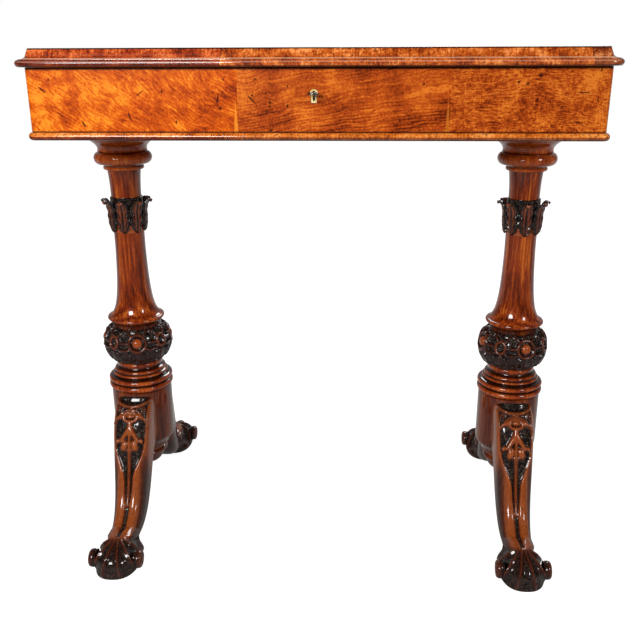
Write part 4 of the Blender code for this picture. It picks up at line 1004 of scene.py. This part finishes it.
outline = [(0.0222, 0), (0.0223, LEAF_FOOT_H), (0.0238, 0.0125), (0.0240, 0.0280), (0.0236, 0.0440)]
outline += [(0.0236, 0.0510), (LEAF_GROUND_R, LEAF_H)]
ground = lathed("leaf_carving", [(r, LEAF_Z + z) for r, z in outline])
foot_level = LEAF_Z + LEAF_FOOT_H + 0.0005
keep(ground, "relief", [0.85 if v.co.z < foot_level else 0.05 for v in ground.data.vertices])
bpy.ops.object.select_all(action="DESELECT")
bpy.ops.mesh.primitive_grid_add(x_subdivisions=LEAF_ACROSS, y_subdivisions=LEAF_ALONG, size=2)
leaf = bpy.context.object
flat = np.array([v.co for v in leaf.data.vertices])
across = flat[:, 0]
t = (flat[:, 1] + 1) / 2
lobes = 1 - 0.16 * np.abs(np.sin(3 * math.pi * t)) ** 2 * (t > 0.15)
half_angle = math.pi / LEAVES * LEAF_OVERLAP * np.interp(t, *LEAF_WIDTHS) * lobes
reach = np.interp(t, *LEAF_REACHES)
height = LEAF_Z + LEAF_H * np.interp(t, *LEAF_LEVELS)
vein = np.exp(-(across / 0.16) ** 2)
bowl = (1 - across ** 2) * LEAF_BOWL + 0.0006 * np.cos(across * 3 * math.pi) * (1 - vein)
crease = bowl - VEIN_DEPTH * vein + 0.0010 * np.exp(-((np.abs(across) - 0.30) / 0.12) ** 2)
side_veins = np.cos(2 * math.pi * (4.5 * t - 1.5 * np.abs(across))) * smoothstep(np.abs(across), 0.22, 0.45)
crease += SIDE_VEIN * side_veins
radius = np.minimum(reach + crease * np.clip((1 - t) / 0.25, 0.25, 1), LEAF_TIP_R)
turn = across * half_angle
leaf_spots = np.stack((radius * np.sin(turn), -radius * np.cos(turn), height), axis=1)
leaf.data.vertices.foreach_set("co", leaf_spots.ravel())
worn = crease - 0.0012 - 0.0005 * side_veins    # side veins are cut deeper than they are dark
keep(leaf, "relief", np.clip(0.36 + 0.20 * t ** 3 + 300 * worn - 0.25 * np.abs(across) ** 3, 0.02, 0.9))
thick = leaf.modifiers.new("thickness", "SOLIDIFY")
thick.thickness = LEAF_THICK
thick.offset = -1
bpy.context.view_layer.objects.active = leaf
bpy.ops.object.modifier_apply(modifier=thick.name)
bpy.ops.object.mode_set(mode="EDIT")
bpy.ops.mesh.select_all(action="SELECT")
for _ in range(LEAVES - 1):
    bpy.ops.mesh.duplicate()
    bpy.ops.transform.rotate(value=2 * math.pi / LEAVES, orient_axis="Z", center_override=(0, 0, 0))
bpy.ops.mesh.select_all(action="SELECT")
bpy.ops.mesh.normals_make_consistent()
bpy.ops.object.mode_set(mode="OBJECT")
join(ground, leaf)
smooth_edges(ground, LEAF_EDGE)
ground.data.materials.clear()
ground.data.materials.append(dark_carving)
on_columns(ground, "leaf_collar")


# Legs: cabriole legs carved from solid walnut, tenoned into the drum. The knee has a crescent, a scrolled
# strap with a cabochon and a bellflower on a sunk ground; the foot is a fluted shell with side volutes.

LEG_SEAT = 0.0363
LEG_TOP = 0.2033
LEG_LOW = 0.1140
LEG_HALF_W = 0.0295
ANKLE_HALF_W = 0.0212
FOOT_HALF_W = 0.0335
FOOT_REACH = 0.2285
HEEL_REACH = 0.138
SOLE_EDGE = 0.003
# Points and handles (reach, height) of the front and back lines, from the knee down
KNEE_PULL = 0.105
ANKLE_PULL = (0.088, 0.062)
ANKLE_FRONT = (0.155, 0.038)
INSTEP = (0.1715, 0.044)
TOE_H = 0.009
HOLLOW = (0.065, 0.020)
ANKLE_BACK = (0.122, 0.012)
HEEL_H = 0.004
KNEE_SQUARE = 2.2                  # how square the sections are, from knee to ankle
ANKLE_SQUARE = 1.2
LEG_AROUND = 160
LEG_ROWS = 150
FOOT_ROWS = 90
FINE_STEPS = 1440                  # steps round a section before its points are evened out
CARVE_DEPTH = 2.6                  # mm of sunk ground
UNCUT = -9                         # mm, below any carving
CARVED_SHARE = 0.74                # how far round from the front the carving runs
SHELL_Y = -0.150                   # where the shell begins


def through(points, count=8):
    """A smooth line through points, each span a bezier with handles drawn from its neighbours."""
    line = []
    ends = [points[0]] + list(points) + [points[-1]]
    for before, a, b, after in zip(ends, ends[1:], ends[2:], ends[3:]):
        a_handle = (a[0] + (b[0] - before[0]) / 6, a[1] + (b[1] - before[1]) / 6)
        b_handle = (b[0] - (after[0] - a[0]) / 6, b[1] - (after[1] - a[1]) / 6)
        line += curve(a, a_handle, b_handle, b, count)[:-1]
    return line + [points[-1]]


toe = (FOOT_REACH, TOE_H)
heel = (HEEL_REACH, HEEL_H)
front_line = curve((LEG_SEAT, LEG_TOP), (KNEE_PULL, LEG_TOP), ANKLE_PULL, ANKLE_FRONT, LEG_ROWS)
front_line += curve(ANKLE_FRONT, INSTEP, (FOOT_REACH, INSTEP[1]), toe, FOOT_ROWS)[1:]
front_line += [(FOOT_REACH - SOLE_EDGE, 0.0)]
back_line = curve((LEG_SEAT, LEG_LOW), (HOLLOW[0], LEG_LOW), HOLLOW, ANKLE_BACK, LEG_ROWS)
back_line += curve(ANKLE_BACK, (HEEL_REACH, ANKLE_BACK[1]), heel, heel, FOOT_ROWS)[1:]
back_line += [(HEEL_REACH + SOLE_EDGE, 0.0)]
front_line = np.array(front_line)
back_line = np.array(back_line)
rows = len(front_line)
ease = np.clip(np.arange(rows) / (LEG_ROWS - 1), 0, 1)
foot = np.clip((np.arange(rows) - LEG_ROWS + 1) / (FOOT_ROWS - 1), 0, 1)
half_w = LEG_HALF_W + (ANKLE_HALF_W - LEG_HALF_W) * ease ** 1.5
half_w += (FOOT_HALF_W - ANKLE_HALF_W) * smoothstep(foot, 0.25, 0.95)
half_w[-1] -= SOLE_EDGE
square = KNEE_SQUARE + (ANKLE_SQUARE - KNEE_SQUARE) * ease

# Each section is an oval between the front and back lines, with its points evenly spaced round it
angles = np.linspace(-math.pi / 2, 1.5 * math.pi, FINE_STEPS + 1)
cosine, sine = np.cos(angles), np.sin(angles)
leg_spots = np.zeros((rows, LEG_AROUND + 1, 3))
side_run = np.zeros((rows, LEG_AROUND + 1))
for i in range(rows):
    x = np.sign(cosine) * np.abs(cosine) ** (1 / square[i]) * half_w[i]
    s = np.sign(sine) * np.abs(sine) ** (1 / square[i])
    middle = (front_line[i] + back_line[i]) / 2
    reach = (front_line[i] - back_line[i]) / 2
    line = np.stack((x, -(middle[0] + s * reach[0]), middle[1] + s * reach[1]), axis=1)
    run = lengths(line)
    even = np.linspace(0, run[-1], LEG_AROUND + 1)
    leg_spots[i] = np.stack([np.interp(even, run, line[:, k]) for k in range(3)], axis=1)
    side_run[i] = even - run[FINE_STEPS // 2]
round_share = np.abs(side_run) / side_run.max(axis=1)[:, None]

# Outward directions from the neighbours along and round the leg
round_step = np.roll(leg_spots[:, :-1], -1, axis=1) - np.roll(leg_spots[:, :-1], 1, axis=1)
down_step = np.gradient(leg_spots[:, :-1], axis=0)
outward = np.cross(down_step, round_step)
outward /= np.maximum(np.linalg.norm(outward, axis=2, keepdims=True), 1e-12)
outward = np.concatenate((outward, outward[:, :1]), axis=1)
centre = leg_spots[:, :-1].mean(axis=1, keepdims=True)
if np.sum(outward * (leg_spots - centre)) < 0:
    outward = -outward

# Sunk ground: the knee's panel narrowing to a groove on each side of the stem, and one line to the ankle.
# Millimetres across from the centre line (u) and down the leg (v).
u = side_run * MM
v = np.repeat(lengths(front_line)[:, None] * MM, LEG_AROUND + 1, axis=1)
panel = np.interp(v[:, 0], (0, 60, 75, 93, 104, 116, 129, 140, 160, 176, 184),
                  (26.5, 26.5, 26, 22.5, 19, 14, 9, 6.6, 5.6, 3.6, 0))[:, None]
sunk = smoothstep(panel - np.abs(u), -0.3, 1.3) * smoothstep(v, 0, 2) * (v < 184)
cleft = smoothstep(4.0 - np.abs(u), 0, 2.4) * smoothstep(v, 172, 186) * smoothstep(244 - v, 0, 6)
carve = -CARVE_DEPTH * sunk - 2.4 * cleft
# Painted shade: the leg's sides, turning away from the front, are darkened below the knee.
sides = smoothstep(np.abs(u), 14, 24) * smoothstep(v, 80, 130)
tone = (0.60 - 0.42 * sides) * (1 - 0.94 * np.maximum(sunk, cleft))
edge = dome(np.abs(np.abs(u) - panel - 1.2), 1.6) * (v > 60) * (v < 140)
carve += 0.5 * edge
tone += 0.12 * edge
scoop = np.interp(v + 0.010 * u ** 2, (11, 12.5, 14.5, 16, 17.5, 19.5, 24, 30),
                  (0, 0.12, 0.44, 0.70, 0.90, 1, 0.62, 0))
carve -= 5.0 * scoop * smoothstep(20 - np.abs(u), 0, 6)
reed = dome(np.abs(u) - 10.5, 6.5) * smoothstep(v, 105, 135) * smoothstep(236 - v, 0, 25)
carve += 2.6 * reed

# Strokes of the carving: points (mm across, mm down the leg), half widths at both ends, height over the
# ground in mm, and tone. Each is cut on both sides of the centre line.
STROKES = (
    (((27, 9), (22, 21), (12, 29.5), (0, 32.5)), 2.0, 3.0, 4.0, 0.52),
    (((19.5, 29), (23, 33), (19.5, 37), (16.5, 33), (19, 30.5)), 1.5, 1.2, 3.0, 0.42),
    (((17, 43), (9, 38.5), (0, 37)), 1.6, 2.2, 3.4, 0.46),
    (((29, 51), (20, 47.5), (10, 46)), 1.8, 4.8, 4.2, 0.58),
    (((10.6, 47.5), (7.6, 53.0), (0, 55.4)), 2.4, 2.8, 4.4, 0.60),
    (((10.6, 47.5), (7.6, 42.4), (0, 40.6)), 2.0, 2.2, 4.0, 0.56),
    (((0, 55), (0, 62), (0, 70)), 3.6, 5.8, 4.8, 0.62),
    (((1, 66), (7, 75), (12.5, 83)), 4.6, 3.4, 5.0, 0.64),
    (((12, 83), (17.5, 83)), 2.8, 2.8, 3.8, 0.50),
    (((0, 70), (0, 98)), 2.8, 2.8, 4.8, 0.60),
    (((0, 99), (9, 97)), 2.4, 1.8, 3.6, 0.46),
    (((0, 96), (0, 130), (0, 181)), 3.3, 2.2, 3.4, 0.48),
)
for points, first, last, height, shade in STROKES:
    far, along = line_distance(np.abs(u), v, through(points))
    ridge = dome(far, first + (last - first) * along)
    cut = ridge > 0
    carve = np.maximum(carve, np.where(cut, height * ridge - CARVE_DEPTH, UNCUT))
    tone = np.maximum(tone, np.where(cut, shade * (0.40 + 0.60 * ridge), 0))

# Rounded forms: mm across and down, half sizes across and down, height over the ground, turn in degrees
BOSSES = (
    (0, 46.5, 6.0, 4.3, 5.2, 0), (18.2, 82.5, 4.2, 4.2, 5.2, 0), (7.8, 91, 6.0, 9.4, 5.2, 16),
    (8.5, 199, 2.4, 3.0, 3.6, 0), (8.5, 212, 2.4, 3.0, 3.6, 0), (8.5, 224, 2.2, 2.6, 3.4, 0),
)
for across, low, wide, tall, height, lean in BOSSES:
    cosine, sine = math.cos(math.radians(lean)), math.sin(math.radians(lean))
    side, along = np.abs(u) - across, v - low
    oval = np.hypot((side * cosine - along * sine) / wide, (side * sine + along * cosine) / tall)
    bump = np.where(oval < 1, dome(oval, 1.0), 0)
    carve = np.maximum(carve, np.where(bump > 0, height * bump - CARVE_DEPTH, UNCUT))
    tone = np.maximum(tone, np.where(bump > 0, 0.15 + 0.55 * bump, 0))

# Shell foot: ridges that spread from the ankle to a scalloped edge, with hollow flutes between them
FAN_V = 238                        # mm down the leg to the point that the ridges spread from
FAN_RISE = 14                      # mm over which the flutes sink in
RIDGES = (11, 33, 56)              # degrees from the centre line
spread = smoothstep(v, FAN_V, FAN_V + FAN_RISE)
bearing = np.degrees(np.arctan2(np.abs(u), np.maximum(v - FAN_V, 1.0)))
radius = np.hypot(u, v - FAN_V)
ridge = np.zeros(u.shape)
for angle in RIDGES:
    far = np.abs(np.radians(bearing - angle)) * radius
    ridge = np.maximum(ridge, np.exp(-np.abs(far / 2.6) ** 1.4))
front_side = leg_spots[:, :, 1] < SHELL_Y
flute = spread * front_side * smoothstep(0.72 - round_share, 0, 0.16)
carve = carve - flute * 5.4 * (1 - ridge) * smoothstep(radius, 2, 24)
tone = tone * (1 - flute) + flute * (0.07 + 0.28 * ridge ** 2)
tone = np.where((foot[:, None] > 0.2) & ~front_side, 0.12, tone)
carve *= round_share < CARVED_SHARE
carve[-1] = 0
leg_shape = leg_spots + outward * carve[:, :, None] / MM
leg_shape[:, :, 2] = np.maximum(leg_shape[:, :, 2], 0.0)
leg_shape[:, :, 1] = np.maximum(leg_shape[:, :, 1], -FOOT_REACH)

bpy.ops.object.select_all(action="DESELECT")
bpy.ops.mesh.primitive_grid_add(x_subdivisions=LEG_AROUND, y_subdivisions=rows - 1, size=1)
leg = bpy.context.object
leg.name = leg.data.name = "front_leg_carving"
leg.data.vertices.foreach_set("co", leg_shape.ravel())
keep(leg, "relief", np.clip(tone, 0, 1).ravel())
bpy.ops.object.mode_set(mode="EDIT")
bpy.ops.mesh.select_all(action="SELECT")
bpy.ops.mesh.remove_doubles(threshold=MERGE)
bpy.ops.mesh.fill_holes(sides=0)
leave_closed()
VOLUTE_PLACE = (0.0315, -0.1960, 0.0150)     # right-hand volute's middle, from the column's axis
VOLUTE_EYE = 0.0076
VOLUTE_STEPS = 40
outline = [(0.0128, -0.0040)] + ring(0.0100, 0.0012, 0.0030, 0.0050, -50, 150, 14) + [(0.0066, 0.0028)]
outline += curve((0.0062, 0.0028), (0.0062, 0.0062), (0.0030, VOLUTE_EYE), (0.0004, VOLUTE_EYE), 8)
for side in (-1, 1):
    volute = lathed("volute", outline, VOLUTE_STEPS, CARVED_EDGE)
    keep(volute, "relief", [0.10 + 0.30 * max(0.0, v.co.z / VOLUTE_EYE) for v in volute.data.vertices])
    volute.data.transform(Matrix.Translation((side * VOLUTE_PLACE[0], *VOLUTE_PLACE[1:]))
                          @ Matrix.Rotation(side * math.pi / 2, 4, "Y"))
    join(leg, volute)
smooth_edges(leg, CARVED_EDGE)
leg.data.materials.clear()
leg.data.materials.append(carved_walnut("carved walnut, leg", "#0A0402", "#642A0E", "#B45A24"))
back_leg = copied(leg, "back_leg_carving")
back_leg.data.transform(Matrix.Rotation(math.pi, 4, "Z"))
on_columns(leg, "front_leg")
on_columns(back_leg, "back_leg")
